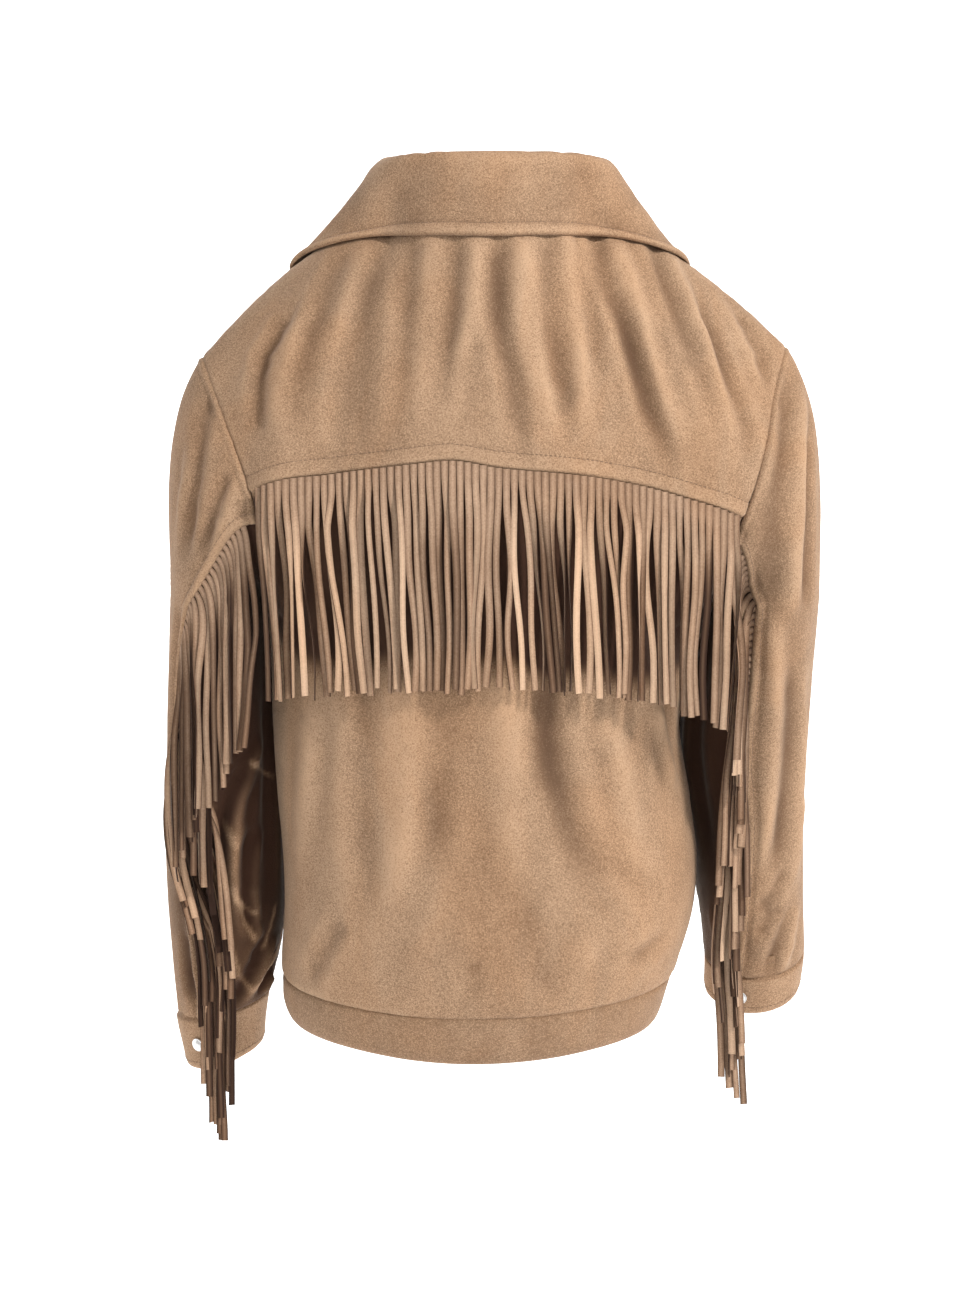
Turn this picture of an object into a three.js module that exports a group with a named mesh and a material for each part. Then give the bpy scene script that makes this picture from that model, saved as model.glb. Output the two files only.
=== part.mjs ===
// A fringed western jacket in tan faux suede, worn form, hollow, open at neck, hem and cuffs.
// Millimetres, +Z up, -Y is the front, +X is the wearer's left.
// The origin is midway between the two points where the shoulder seams meet the neck:
// the wearer's shoulders carry the jacket there.
import * as THREE from 'three';

// ------------------------------------------------------------------ driving sizes
const CLOTH = 1.6;            // wall of every cut panel
const COLLAR_WALL = 2.8;      // upper and under collar together
const SEAM_GAP = 0.52;        // clear distance between two panels at a seam
const LAP = 15;               // how far each front passes the centre line
const LAP_STEP = 1.5;         // upper front moves out, under front moves in, by this
const UNDERARM_Z = -290;      // height of the underarm points
const ROW_DIP = 62;           // the row of the surface through them sags by this at the centre
const BICEP_Z = -305;         // first full ring of each sleeve
const NECK_BACK_S = 0.33;     // share of the half back taken by the neckline
const NECK_FRONT_S = 0.38;    // share of the half front taken by the neckline
const FRINGE_THICK = 4.5;     // depth of a curtain of fringe
const FRINGE_CLEAR = 1.0;     // curtain to cloth
const BAND_LAP = 20;          // overlap of a cuff at its slit
const SNAP_R = 5.5, SNAP_H = 2.2;
const TAN = 0xbd9d80, TAN_DARK = 0xa98565, METAL = 0xd8d4cc;

// ------------------------------------------------------------------ tables
const table = (cols, rows) => rows.map((r) => Object.fromEntries(cols.map((c, i) => [c, r[i]])));

// Body rings, from the bottom of the band to the underarm: centre, half width, depth behind and in front.
const BODY = table(['z', 'xc', 'a', 'back', 'front'], [
  [-664, 12, 141, 109, 111], [-640, 13, 151, 116, 118], [-620, 11.5, 155.5, 121, 123],
  [-600, 8.5, 160, 124, 126], [-560, 1.5, 164.5, 123.5, 127], [-515, 0, 166.5, 119, 126],
  [-470, 4.5, 165.5, 115, 127], [-400, 11, 163, 113, 130], [-350, 6, 169, 117, 134],
  [-290, 0, 180, 125, 137]]);

// Armhole, w once round: 0 underarm, 0.25 back, 0.5 shoulder tip, 0.75 front.
const ARM_L = table(['w', 'x', 'y', 'z'], [
  [0, 180, 0, -290], [0.10, 177, 58, -277], [0.19, 177.5, 84, -246], [0.26, 183, 88, -218],
  [0.33, 194, 76, -188], [0.41, 211, 46, -150], [0.5, 227, 2, -115], [0.59, 213, -42, -150],
  [0.67, 193, -76, -186], [0.75, 180, -95, -222], [0.83, 175, -90, -252], [0.91, 177, -58, -280],
  [1, 180, 0, -290]]);
const ARM_R = table(['w', 'x', 'y', 'z'], [
  [0, -180, 0, -290], [0.10, -183, 58, -276], [0.19, -191, 84, -244], [0.26, -203, 88, -212],
  [0.33, -213, 75, -178], [0.41, -221, 46, -142], [0.5, -233, 2, -107], [0.59, -220, -42, -143],
  [0.67, -200, -76, -180], [0.75, -186, -95, -218], [0.83, -178, -90, -250], [0.91, -178, -58, -279],
  [1, -180, 0, -290]]);

// Shoulder seam from the neck point (f 0) to the tip (f 1).
const RIDGE_L = table(['f', 'x', 'y', 'z'], [
  [0, 78, 0, -2], [0.27, 118, 0, -20], [0.52, 156, 0, -46], [0.765, 192, 0, -78], [1, 227, 2, -115]]);
const RIDGE_R = table(['f', 'x', 'y', 'z'], [
  [0, -78, 0, -2], [0.26, -118, 0, -18], [0.52, -158, 0, -44], [0.775, -198, 0, -75], [1, -233, 2, -107]]);
// Neckline from the centre (f 0) to the neck point (f 1).
const NECK_BACK = table(['f', 'x', 'y', 'z'], [[0, 0, 60, 8], [0.42, 32, 54, 7], [0.75, 60, 33, 3.5], [1, 78, 0, -2]]);
const NECK_FRONT = table(['f', 'x', 'y', 'z'], [[0, 0, -98, -84], [0.36, 34, -86, -70], [0.72, 62, -54, -38], [1, 78, 0, -2]]);

// Lower edge of the back yoke, height by x.
const YOKE = table(['x', 'z'], [
  [-206, -240], [-192, -231], [-145, -214.2], [-84, -199.2], [-8, -190.7], [34, -185.4],
  [45, -186.6], [121, -197.4], [175, -207.5], [186, -214]]);

// Largest folds, as soft troughs (negative depth) or ridges, from one end to the other.
const BACK_FOLDS = table(['x0', 'z0', 'x1', 'z1', 'width', 'depth'], [
  [-90, -30, -140, -190, 17, -5.5], [-14, -30, -30, -170, 15, -3], [-62, -30, -66, -175, 15, -3.5],
  [184, -90, 186, -180, 15, -4], [-150, -60, -196, -180, 14, -3], [128, -60, 138, -170, 16, 2.5],
  [-48, -370, -96, -570, 17, -6], [98, -365, 96, -520, 15, -3.5], [-126, -380, -140, -520, 24, 4],
  [10, -370, -20, -520, 26, 3], [120, -540, 146, -600, 14, -2.5], [-106, -590, -134, -590, 10, -3]]);
const FRONT_FOLDS = table(['x0', 'z0', 'x1', 'z1', 'width', 'depth'], [
  [120, -150, 96, -330, 18, -4], [-128, -150, -100, -320, 18, -4], [70, -380, 84, -560, 18, -3.5],
  [-60, -400, -92, -570, 17, -3.5], [138, -330, 120, -470, 20, 3], [-140, -360, -118, -500, 20, 3]]);

// Sleeve rings for the wearer's left and right, outward x positive on both:
// outer and inner x, half depth, y of the middle, how much lower the outer side (drop) and the back (lean) sit.
const SLEEVE_COLS = ['z', 'xo', 'xi', 'b', 'yc', 'drop', 'lean'];
const SLEEVE_L = table(SLEEVE_COLS, [
  [-694, 249, 187, 40, -47, 9, 4], [-648, 257, 182, 43, -43, 9, 3], [-625, 259.5, 176, 48, -40, 7, 3],
  [-592, 262, 171, 54, -38, 4, 2], [-558, 264, 169, 57, -36, 2, 1], [-509, 265, 170, 59, -33, 0, 0],
  [-443, 262.5, 173, 62, -27, 0, 0], [-361, 258, 181, 68, -14, 0, 0], [-305, 254.5, 187, 73, -6, 0, 0]]);
const SLEEVE_R = table(SLEEVE_COLS, [
  [-644, 257.5, 177, 38, -66, -2, 15], [-611, 260, 177, 42, -60, -2, 14], [-594, 259.5, 175.5, 48, -56, -1, 9],
  [-558, 258, 171, 55, -50, 0, 4], [-492, 256.5, 165, 60, -44, 0, 0], [-440, 257.5, 159, 62, -38, 0, 0],
  [-361, 260.5, 173, 68, -20, 0, 0], [-305, 262.4, 189, 73, -6, 0, 0]]);
// How far the inner side lies over towards the body, just forward of the underarm, where the arm hangs against it.
const PRESS_AT = 3.75;
const PRESS_L = table(['z', 'd'], [
  [-694, 0], [-625, 0], [-592, 2], [-558, 3], [-509, 2], [-443, 2], [-400, 4], [-361, 7], [-330, 9.5], [-305, 8]]);
const PRESS_R = table(['z', 'd'], [
  [-644, 0], [-575, 0], [-540, 3], [-515, 3], [-492, 4], [-470, 3], [-440, 6], [-400, 16], [-361, 15], [-330, 11],
  [-305, 7.5]]);
const CUFF_SEAM = { L: -648, R: -611 }, CUFF_BOTTOM = { L: -690, R: -640 };
// Where the back seam of the sleeve runs, as a share w of the way round, by v (1 bicep ring, 2 cuff seam).
const SEAM_L = table(['v', 'w'], [
  [0, 0.187], [1, 0.318], [1.09, 0.353], [1.23, 0.376], [1.46, 0.365], [1.7, 0.343], [1.82, 0.317], [2, 0.305]]);
const SEAM_R = table(['v', 'w'], [
  [0, 0.187], [1, 0.172], [1.18, 0.206], [1.4, 0.226], [1.62, 0.228], [1.84, 0.203], [2, 0.172]]);
// Direction in which the cloth leaves the armhole into the sleeve, outward x positive.
const CAP_DIR = table(['w', 'x', 'y', 'z'], [
  [0, 0.55, 0, -0.85], [0.10, 0.75, 0.15, -0.65], [0.19, 0.88, 0.10, -0.46], [0.26, 0.93, -0.02, -0.36],
  [0.33, 0.90, -0.05, -0.43], [0.41, 0.78, 0, -0.62], [0.5, 0.58, 0, -0.81], [0.59, 0.78, 0.05, -0.62],
  [0.67, 0.90, 0.10, -0.43], [0.75, 0.93, 0.05, -0.36], [0.83, 0.90, -0.10, -0.43], [0.91, 0.75, -0.15, -0.65],
  [1, 0.55, 0, -0.85]]);
// Sleeve folds in sleeve coordinates (v 0 to 3, w 0 to 1).
const SLEEVE_FOLDS = table(['w0', 'v0', 'w1', 'v1', 'width', 'depth'], [
  [0.42, 0.35, 0.47, 1.5, 0.045, -3.5], [0.56, 0.5, 0.6, 1.7, 0.05, -3], [0.7, 0.9, 0.66, 1.8, 0.05, -3],
  [0.84, 1.1, 0.9, 1.7, 0.05, -2.5], [0.36, 1.72, 0.56, 1.66, 0.04, -2.5]]);

// Curtains of fringe on the sleeves: extent by height, and where it hangs when clear of the sleeve.
const SLEEVE_FRINGE_COLS = ['z', 'x0', 'x1', 'y0', 'y1'];
const SLEEVE_FRINGE_L = table(SLEEVE_FRINGE_COLS, [
  [-738, 208, 232, 8, 8], [-700, 206, 232, 8, 8], [-640, 202, 234, 4, 4], [-588, 200, 235, 4, 4],
  [-546, 203, 240, 14, 10], [-504, 203, 249, 20, 14], [-447, 198, 256, 40, 22], [-382, 192, 258, 66, 30],
  [-335, 190, 250, 78, 38], [-301, 190, 232, 84, 50]]);
const SLEEVE_FRINGE_R = table(SLEEVE_FRINGE_COLS, [
  [-718, 192, 211, 2, 2], [-678, 188, 211, 2, 2], [-634, 187, 211, 0, 0], [-580, 176, 209, 4, 4],
  [-546, 176, 209, 8, 8], [-504, 177, 208, 14, 14], [-430, 178, 212, 34, 30], [-382, 186, 213, 52, 48],
  [-341, 195, 213, 66, 62], [-306, 199, 213, 74, 70]]);

// Collar, from the centre back (u 0) past the shoulder seam (u 0.5) to a front end (u 1).
// It rises from the neckline to the roll and falls to the outer edge, which lies on the torso.
const COLLAR_ROLL = table(['u', 'x', 'y', 'z'], [
  [0, 0, 71, 41], [0.2, 48, 62, 40], [0.36, 78, 38, 36.5], [0.5, 88, 2, 31],
  [0.66, 78, -55, 3], [0.84, 52, -92, -36], [1, 22, -106, -62]]);
const COLLAR_EDGE = table(['u', 'x', 'z'], [
  [0, 0, -18.5], [0.12, 40, -18], [0.22, 80, -20.5], [0.31, 110, -25], [0.4, 136, -33], [0.5, 155, -44],
  [0.6, 153, -62], [0.72, 142, -94], [0.86, 120, -130], [1, 94, -164]]);
const ROLL_SHIFT = -4;        // the roll sits this far to the wearer's right
const COLLAR_OVER = 3.6;      // middle of the collar's wall over the cloth at its outer edge
const COLLAR_END = 0.9;       // share of the front neckline that the collar follows

// ------------------------------------------------------------------ interpolation
const smooth = (a, b, x) => { const u = Math.min(1, Math.max(0, (x - a) / (b - a))); return u * u * (3 - 2 * u); };
const mix = (a, b, u) => a + (b - a) * u;

function along(rows, key, col, q, loop = false) {
  const n = rows.length;
  let i = 0;
  while (i < n - 2 && q > rows[i + 1][key]) i++;
  const slope = (k) => {
    let a, b, c;
    if (k > 0 && k < n - 1) [a, b, c] = [rows[k - 1], rows[k], rows[k + 1]];
    else if (loop) {
      const span = rows[n - 1][key] - rows[0][key];
      a = { ...rows[n - 2], [key]: rows[n - 2][key] - span };
      b = rows[0];
      c = rows[1];
    } else {
      const j = k === 0 ? 0 : n - 2;
      return (rows[j + 1][col] - rows[j][col]) / (rows[j + 1][key] - rows[j][key]);
    }
    const hl = b[key] - a[key], hr = c[key] - b[key];
    return ((b[col] - a[col]) / hl * hr + (c[col] - b[col]) / hr * hl) / (hl + hr);
  };
  const h = rows[i + 1][key] - rows[i][key];
  const u = (q - rows[i][key]) / h;
  const m0 = slope(i) * h, m1 = slope(i + 1) * h;
  const u2 = u * u, u3 = u2 * u;
  return (2 * u3 - 3 * u2 + 1) * rows[i][col] + (u3 - 2 * u2 + u) * m0
    + (3 * u2 - 2 * u3) * rows[i + 1][col] + (u3 - u2) * m1;
}
const point = (rows, key, q, loop) => new THREE.Vector3(
  along(rows, key, 'x', q, loop), along(rows, key, 'y', q, loop), along(rows, key, 'z', q, loop));
const wrap = (w) => w - Math.floor(w);
const hermite = (p0, t0, p1, t1, u) => {
  const u2 = u * u, u3 = u2 * u;
  return new THREE.Vector3()
    .addScaledVector(p0, 2 * u3 - 3 * u2 + 1).addScaledVector(t0, u3 - 2 * u2 + u)
    .addScaledVector(p1, 3 * u2 - 2 * u3).addScaledVector(t1, u3 - u2);
};

// ------------------------------------------------------------------ torso surface
// half +1 is the back, -1 the front. s runs from -1 (wearer's right) to 1 (left), 0 is the centre.
// t 0 band seam, 1 the row through the underarms, 2 shoulder seam or neckline; below 0 it runs down the band to -1.
const ring = (half, s, z) => {
  const phi = s * Math.PI / 2, n = 2.25;
  const a = along(BODY, 'z', 'a', z), b = along(BODY, 'z', half > 0 ? 'back' : 'front', z);
  const r = Math.pow(Math.pow(Math.abs(Math.sin(phi)) / a, n) + Math.pow(Math.abs(Math.cos(phi)) / b, n), -1 / n);
  return new THREE.Vector3(along(BODY, 'z', 'xc', z) + r * Math.sin(phi), half * r * Math.cos(phi), z);
};
const bandTop = (half, s) => -612 - (half > 0 ? 10 : 4) * Math.pow(Math.cos(s * Math.PI / 2), 2);
const bandBottom = (half, s) => -648 - (half > 0 ? 12.5 : 4) * Math.pow(Math.cos(s * Math.PI / 2), 2);
const rowOne = (s) => UNDERARM_Z - ROW_DIP * (1 - s * s);
const armhole = (s, w) => point(s > 0 ? ARM_L : ARM_R, 'w', wrap(w), true);

function upperEdge(half, s) {
  const sn = half > 0 ? NECK_BACK_S : NECK_FRONT_S, q = Math.abs(s);
  if (q >= sn) return point(s > 0 ? RIDGE_L : RIDGE_R, 'f', (q - sn) / (1 - sn));
  const p = point(half > 0 ? NECK_BACK : NECK_FRONT, 'f', q / sn);
  if (s < 0) p.x = -p.x;
  return p;
}
// The same edge with its corner at the neck point rounded off: the columns aim at this one, and only
// their last stretch is drawn on to the true edge, so that the corner leaves no crease in the panel.
const ROUNDING = 0.2;
const roundEdge = new Map();
for (const half of [1, -1]) {
  const rows = [];
  for (let k = 0; k <= 50; k++) {
    const s = k / 25 - 1, h = Math.min(ROUNDING, 1 - Math.abs(s)), p = new THREE.Vector3();
    let sum = 0;
    for (let i = -6; i <= 6; i++) {
      const weight = Math.cos(i / 7 * Math.PI / 2);
      p.addScaledVector(upperEdge(half, s + h * i / 6), weight);
      sum += weight;
    }
    rows.push({ s, x: p.x / sum, y: p.y / sum, z: p.z / sum });
  }
  roundEdge.set(half, rows);
}
function column(half, s, u) {
  const q = Math.abs(s), sn = half > 0 ? NECK_BACK_S : NECK_FRONT_S;
  const z0 = rowOne(s), p0 = ring(half, s, z0), p1 = point(roundEdge.get(half), 's', s);
  const side = smooth(0.5, 0.97, q);
  const t0 = ring(half, s, z0 + 2).sub(ring(half, s, z0 - 2)).multiplyScalar((1 - side) / 4)
    .add(new THREE.Vector3(0, half * side * 0.97, 0.22 * side)).multiplyScalar(half > 0 ? 370 : 300);
  const k = 1 - smooth(0.2, 1.3, q / sn);
  const t1 = half > 0
    ? new THREE.Vector3(0, mix(-250, -150, k), 150 * k)
    : new THREE.Vector3(0, mix(235, 60, k), 120 * k);
  return hermite(p0, t0, p1, t1, u).addScaledVector(upperEdge(half, s).sub(p1), Math.pow(smooth(0.55, 1, u), 1.5));
}
function smoothTorso(half, s, t) {
  if (t <= 1) {
    const top = bandTop(half, s);
    const z = t >= 0 ? mix(top, rowOne(s), t) : mix(top, bandBottom(half, s), -t);
    return ring(half, s, z);
  }
  const u = t - 1, p = column(half, s, u);
  const pull = smooth(0.5, 1, Math.abs(s));
  if (pull > 0) {
    const side = s > 0 ? 1 : -1, w = half > 0 ? u / 2 : 1 - u / 2;
    p.addScaledVector(armhole(side, w).sub(column(half, side, u)), pull);
  }
  if (half > 0) p.y += 5 * Math.pow(Math.sin(Math.PI * Math.min(1, u / 0.6)), 2) * (1 - smooth(0.3, 1, Math.abs(s)));
  return p;
}
const foldSum = (rows, x, z) => {
  let d = 0;
  for (const f of rows) {
    const dx = f.x1 - f.x0, dz = f.z1 - f.z0, l2 = dx * dx + dz * dz;
    const k = ((x - f.x0) * dx + (z - f.z0) * dz) / l2;
    const cx = f.x0 + dx * k - x, cz = f.z0 + dz * k - z;
    const end = smooth(-0.15, 0.25, k) * (1 - smooth(0.75, 1.15, k));
    d += f.depth * end * Math.exp(-(cx * cx + cz * cz) / (f.width * f.width));
  }
  return d;
};
const unit = (f, a, b, da, db, flip) => {
  const p = f(a + da, b).sub(f(a - da, b)), q = f(a, b + db).sub(f(a, b - db));
  return p.cross(q).normalize().multiplyScalar(flip);
};
const clampIn = (f, lo, hi) => (a, b) => f(Math.min(hi, Math.max(lo, a)), b);
const smoothNormal = (half, s, t) =>
  unit(clampIn((a, b) => smoothTorso(half, a, Math.min(2, Math.max(-1, b))), -1, 1), s, t, 0.004, 0.004, -half);
function torso(half, s, t) {
  const p = smoothTorso(half, s, t);
  const fade = (1 - smooth(0.86, 1, Math.abs(s))) * smooth(-0.02, 0.14, t) * (1 - smooth(1.86, 1.99, t));
  if (fade <= 0) return p;
  return p.addScaledVector(smoothNormal(half, s, t), fade * foldSum(half > 0 ? BACK_FOLDS : FRONT_FOLDS, p.x, p.z));
}
// t of the yoke seam on the column s of the back.
function yokeT(s) {
  let lo = 1.02, hi = 1.95;
  for (let i = 0; i < 40; i++) {
    const m = (lo + hi) / 2, p = smoothTorso(1, s, m);
    if (p.z > along(YOKE, 'x', 'z', p.x)) hi = m; else lo = m;
  }
  return (lo + hi) / 2;
}
const YOKE_W = { L: (yokeT(1) - 1) / 2, R: (yokeT(-1) - 1) / 2 };
const SEAM_SHARE = 0.78;      // the sleeve's back seam starts this far up from the underarm to the yoke
SEAM_L[0].w = SEAM_SHARE * YOKE_W.L;
SEAM_R[0].w = SEAM_SHARE * YOKE_W.R;

// ------------------------------------------------------------------ sleeve surface
// w once round from the underarm over the back, v 0 armhole, 1 bicep ring, 2 cuff seam, 3 cuff bottom.
const SIDES = {
  L: { sign: 1, rings: SLEEVE_L, seam: SEAM_L, press: PRESS_L },
  R: { sign: -1, rings: SLEEVE_R, seam: SEAM_R, press: PRESS_R },
};
function sleeveRing(side, w, z) {
  const { sign, rings, press } = SIDES[side], psi = Math.PI * (1 - 2 * w);
  const g = (c) => along(rings, 'z', c, z);
  const xc = (g('xo') + g('xi')) / 2, a = (g('xo') - g('xi')) / 2;
  const over = along(press, 'z', 'd', z) * Math.pow(Math.max(0, Math.cos(psi - PRESS_AT)), 3);
  return new THREE.Vector3(sign * (xc + a * Math.cos(psi) - over), g('yc') + g('b') * Math.sin(psi),
    z - g('drop') * Math.cos(psi) - g('lean') * Math.sin(psi));
}
function smoothSleeve(side, w, v) {
  const { sign } = SIDES[side], ww = wrap(w);
  if (v > 2) return sleeveRing(side, ww, mix(CUFF_SEAM[side], CUFF_BOTTOM[side], v - 2));
  if (v >= 1) return sleeveRing(side, ww, mix(BICEP_Z, CUFF_SEAM[side], v - 1));
  const p0 = armhole(sign, ww), p1 = sleeveRing(side, ww, BICEP_Z), d = p0.distanceTo(p1);
  const t0 = point(CAP_DIR, 'w', ww, true).normalize().multiplyScalar(d * 0.92);
  t0.x *= sign;
  return hermite(p0, t0, p1, new THREE.Vector3(0, 0, -d), v);
}
const sleeveNormal0 = (side, w, v) =>
  unit((a, b) => smoothSleeve(side, a, Math.min(3, Math.max(0, b))), w, v, 0.002, 0.004, SIDES[side].sign);
function sleeve(side, w, v) {
  const p = smoothSleeve(side, w, v);
  const fade = smooth(0.05, 0.5, v) * (1 - smooth(1.86, 1.99, v));
  if (fade <= 0) return p;
  let d = 0;
  for (const f of SLEEVE_FOLDS) {
    const k = (v - f.v0) / (f.v1 - f.v0), c = mix(f.w0, f.w1, k);
    d += f.depth * smooth(-0.15, 0.25, k) * (1 - smooth(0.75, 1.15, k)) * Math.exp(-Math.pow((w - c) / f.width, 2));
  }
  return p.addScaledVector(sleeveNormal0(side, w, v), d * fade);
}
const seamW = (side, v) => along(SIDES[side].seam, 'v', 'w', Math.min(2, Math.max(0, v)));

// ------------------------------------------------------------------ normals shared at the seams
const torsoNormal = (half, s, t) => {
  const n = unit(clampIn((a, b) => torso(half, a, Math.min(2, Math.max(-1, b))), -1, 1), s, t, 0.006, 0.006, -half);
  return n;
};
const sleeveNormal = (side, w, v) =>
  unit((a, b) => sleeve(side, a, Math.min(3, Math.max(0, b))), w, v, 0.004, 0.006, SIDES[side].sign);
// Inward offset at a seam between two panels that meet at an angle: mitred, so that neither wall enters the other.
const mitre = (n1, n2) => {
  const m = n1.clone().add(n2).normalize();
  return m.multiplyScalar(Math.min(1.5, 1 / Math.max(0.5, m.dot(n1))));
};
const armMitre = (sign, w) => {
  const ww = wrap(w), half = ww <= 0.5 ? 1 : -1, t = half > 0 ? 1 + 2 * ww : 1 + 2 * (1 - ww);
  return mitre(torsoNormal(half, sign, Math.min(1.985, Math.max(1.004, t))),
    sleeveNormal(sign > 0 ? 'L' : 'R', ww, 0.01));
};
const ridgeMitre = (s01, sign) => mitre(
  torsoNormal(1, sign * mix(NECK_BACK_S, 1, s01), 1.99), torsoNormal(-1, sign * mix(NECK_FRONT_S, 1, s01), 1.99));

// ------------------------------------------------------------------ closed walls
// outer and inner are grids of points [i][j]; the wall between them, with its rim, is one closed body.
function wall(outer, inner) {
  const ni = outer.length, nj = outer[0].length, pos = [], idx = [];
  const id = (layer, i, j) => (layer * ni + i) * nj + j;
  for (const g of [outer, inner]) for (const row of g) for (const p of row) pos.push(p.x, p.y, p.z);
  const quad = (a, b, c, d) => idx.push(a, b, c, a, c, d);
  for (let i = 0; i < ni - 1; i++) for (let j = 0; j < nj - 1; j++) {
    quad(id(0, i, j), id(0, i + 1, j), id(0, i + 1, j + 1), id(0, i, j + 1));
    quad(id(1, i, j), id(1, i, j + 1), id(1, i + 1, j + 1), id(1, i + 1, j));
  }
  for (let i = 0; i < ni - 1; i++) {
    quad(id(0, i + 1, 0), id(0, i, 0), id(1, i, 0), id(1, i + 1, 0));
    quad(id(0, i, nj - 1), id(0, i + 1, nj - 1), id(1, i + 1, nj - 1), id(1, i, nj - 1));
  }
  for (let j = 0; j < nj - 1; j++) {
    quad(id(0, 0, j), id(0, 0, j + 1), id(1, 0, j + 1), id(1, 0, j));
    quad(id(0, ni - 1, j + 1), id(0, ni - 1, j), id(1, ni - 1, j), id(1, ni - 1, j + 1));
  }
  const v = (k) => new THREE.Vector3(pos[3 * k], pos[3 * k + 1], pos[3 * k + 2]);
  let vol = 0;
  for (let k = 0; k < idx.length; k += 3) vol += v(idx[k]).dot(v(idx[k + 1]).cross(v(idx[k + 2])));
  if (vol < 0) for (let k = 0; k < idx.length; k += 3) [idx[k + 1], idx[k + 2]] = [idx[k + 2], idx[k + 1]];
  const g = new THREE.BufferGeometry();
  g.setAttribute('position', new THREE.Float32BufferAttribute(pos, 3));
  g.setIndex(idx);
  g.computeVertexNormals();
  return g;
}
// Each border that is a seam is moved back by half the seam gap, square to the border and to the
// direction through the cloth there, so that the two walls at a seam stay parallel and apart.
function panel(outer, inward, thick, edges) {
  const ni = outer.length, nj = outer[0].length, shift = outer.map((r) => r.map(() => new THREE.Vector3()));
  const border = (cells) => {      // cells: [i, j, inner neighbour i, j] in order along the border
    const at = (k) => outer[cells[k][0]][cells[k][1]];
    let sense = 0;
    const dirs = cells.map(([i, j, a, b], k) => {
      const tangent = at(Math.min(cells.length - 1, k + 1)).clone().sub(at(Math.max(0, k - 1)));
      const d = tangent.cross(inward[i][j]).normalize();
      sense += d.dot(outer[a][b].clone().sub(outer[i][j]));
      return d;
    });
    cells.forEach(([i, j], k) => shift[i][j].addScaledVector(dirs[k], Math.sign(sense) * SEAM_GAP / 2));
  };
  const is = [...outer.keys()], js = [...outer[0].keys()];
  if (edges.j0) border(is.map((i) => [i, 0, i, 1]));
  if (edges.j1) border(is.map((i) => [i, nj - 1, i, nj - 2]));
  if (edges.i0) border(js.map((j) => [0, j, 1, j]));
  if (edges.i1) border(js.map((j) => [ni - 1, j, ni - 2, j]));
  const inner = outer.map((row, i) => row.map((p, j) => p.clone().addScaledVector(inward[i][j], -thick).add(shift[i][j])));
  return wall(outer.map((row, i) => row.map((p, j) => p.clone().add(shift[i][j]))), inner);
}
const steps = (a, b, n) => Array.from({ length: n + 1 }, (_, i) => mix(a, b, i / n));

// ------------------------------------------------------------------ grid lines
const NS = 7;                                             // columns over each shoulder
const backS = [...steps(-1, -NECK_BACK_S, NS), ...steps(-NECK_BACK_S, NECK_BACK_S, 8).slice(1), ...steps(NECK_BACK_S, 1, NS).slice(1)];
const lapS = (half, x) => Math.atan2(x, 130) / (Math.PI / 2);
const LAP_S = lapS(-1, LAP);
const frontS = (from) => [...steps(from, NECK_FRONT_S, 4), ...steps(NECK_FRONT_S, 1, NS).slice(1)];
const LOWER_T = [0, 0.12, 0.28, 0.46, 0.64, 0.82, 1];
const TO_YOKE = [0, 0.17, 0.36, 0.57, SEAM_SHARE, 1];           // share of the way from the underarm to the yoke seam
const YOKE_ROWS = 8;
const FRONT_UP = [1, 1.07, 1.16, 1.28, 1.41, 1.55, 1.7, 1.85, 2];

function normalAt(half, s, t) {
  if (Math.abs(s) > 0.9999 && t >= 1) {
    const u = t - 1;
    return armMitre(s, half > 0 ? u / 2 : 1 - u / 2);
  }
  const sn = half > 0 ? NECK_BACK_S : NECK_FRONT_S;
  if (t > 1.9999 && Math.abs(s) >= sn - 1e-6) return ridgeMitre((Math.abs(s) - sn) / (1 - sn), Math.sign(s));
  return torsoNormal(half, s, t);
}
function torsoPanel(half, columns, rows, offset, edges) {
  const outer = columns.map((s) => rows(s).map((t) => torso(half, s, t)));
  const nrm = columns.map((s) => rows(s).map((t) => normalAt(half, s, t)));
  if (offset) columns.forEach((s, i) => rows(s).forEach((t, j) => outer[i][j].addScaledVector(nrm[i][j], offset(s, t))));
  return panel(outer, nrm, CLOTH, edges);
}

// ------------------------------------------------------------------ the object
const jacket = new THREE.Group();
function add(name, geometry, colour = TAN, roughness = 0.95, metalness = 0) {
  const m = new THREE.Mesh(geometry, new THREE.MeshStandardMaterial({ color: colour, roughness, metalness }));
  m.name = name;
  jacket.add(m);
  return m;
}

// Back yoke and lower back share the line of the yoke seam.
add('back_yoke', torsoPanel(1, backS, (s) => steps(yokeT(s), 2, YOKE_ROWS), null, { i0: 1, i1: 1, j0: 1, j1: 1 }));
add('back_body', torsoPanel(1, backS,
  (s) => [...LOWER_T, ...TO_YOKE.slice(1).map((f) => mix(1, yokeT(s), f))], null, { i0: 1, i1: 1, j0: 1, j1: 1 }));

// Fronts lap at the centre: the wearer's right over the left.
const lapOut = (s) => LAP_STEP * smooth(-0.42, -0.16, s);
const lapIn = (s) => -LAP_STEP * smooth(-0.42, -0.16, -s);
const frontRows = () => [...LOWER_T, ...FRONT_UP.slice(1)];
add('front_left', torsoPanel(-1, frontS(-LAP_S), frontRows, (s) => lapIn(s), { i1: 1, j0: 1, j1: 1 }));
add('front_right', torsoPanel(-1, frontS(-LAP_S).map((s) => -s), frontRows, (s) => lapOut(s), { i1: 1, j0: 1, j1: 1 }));

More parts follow.
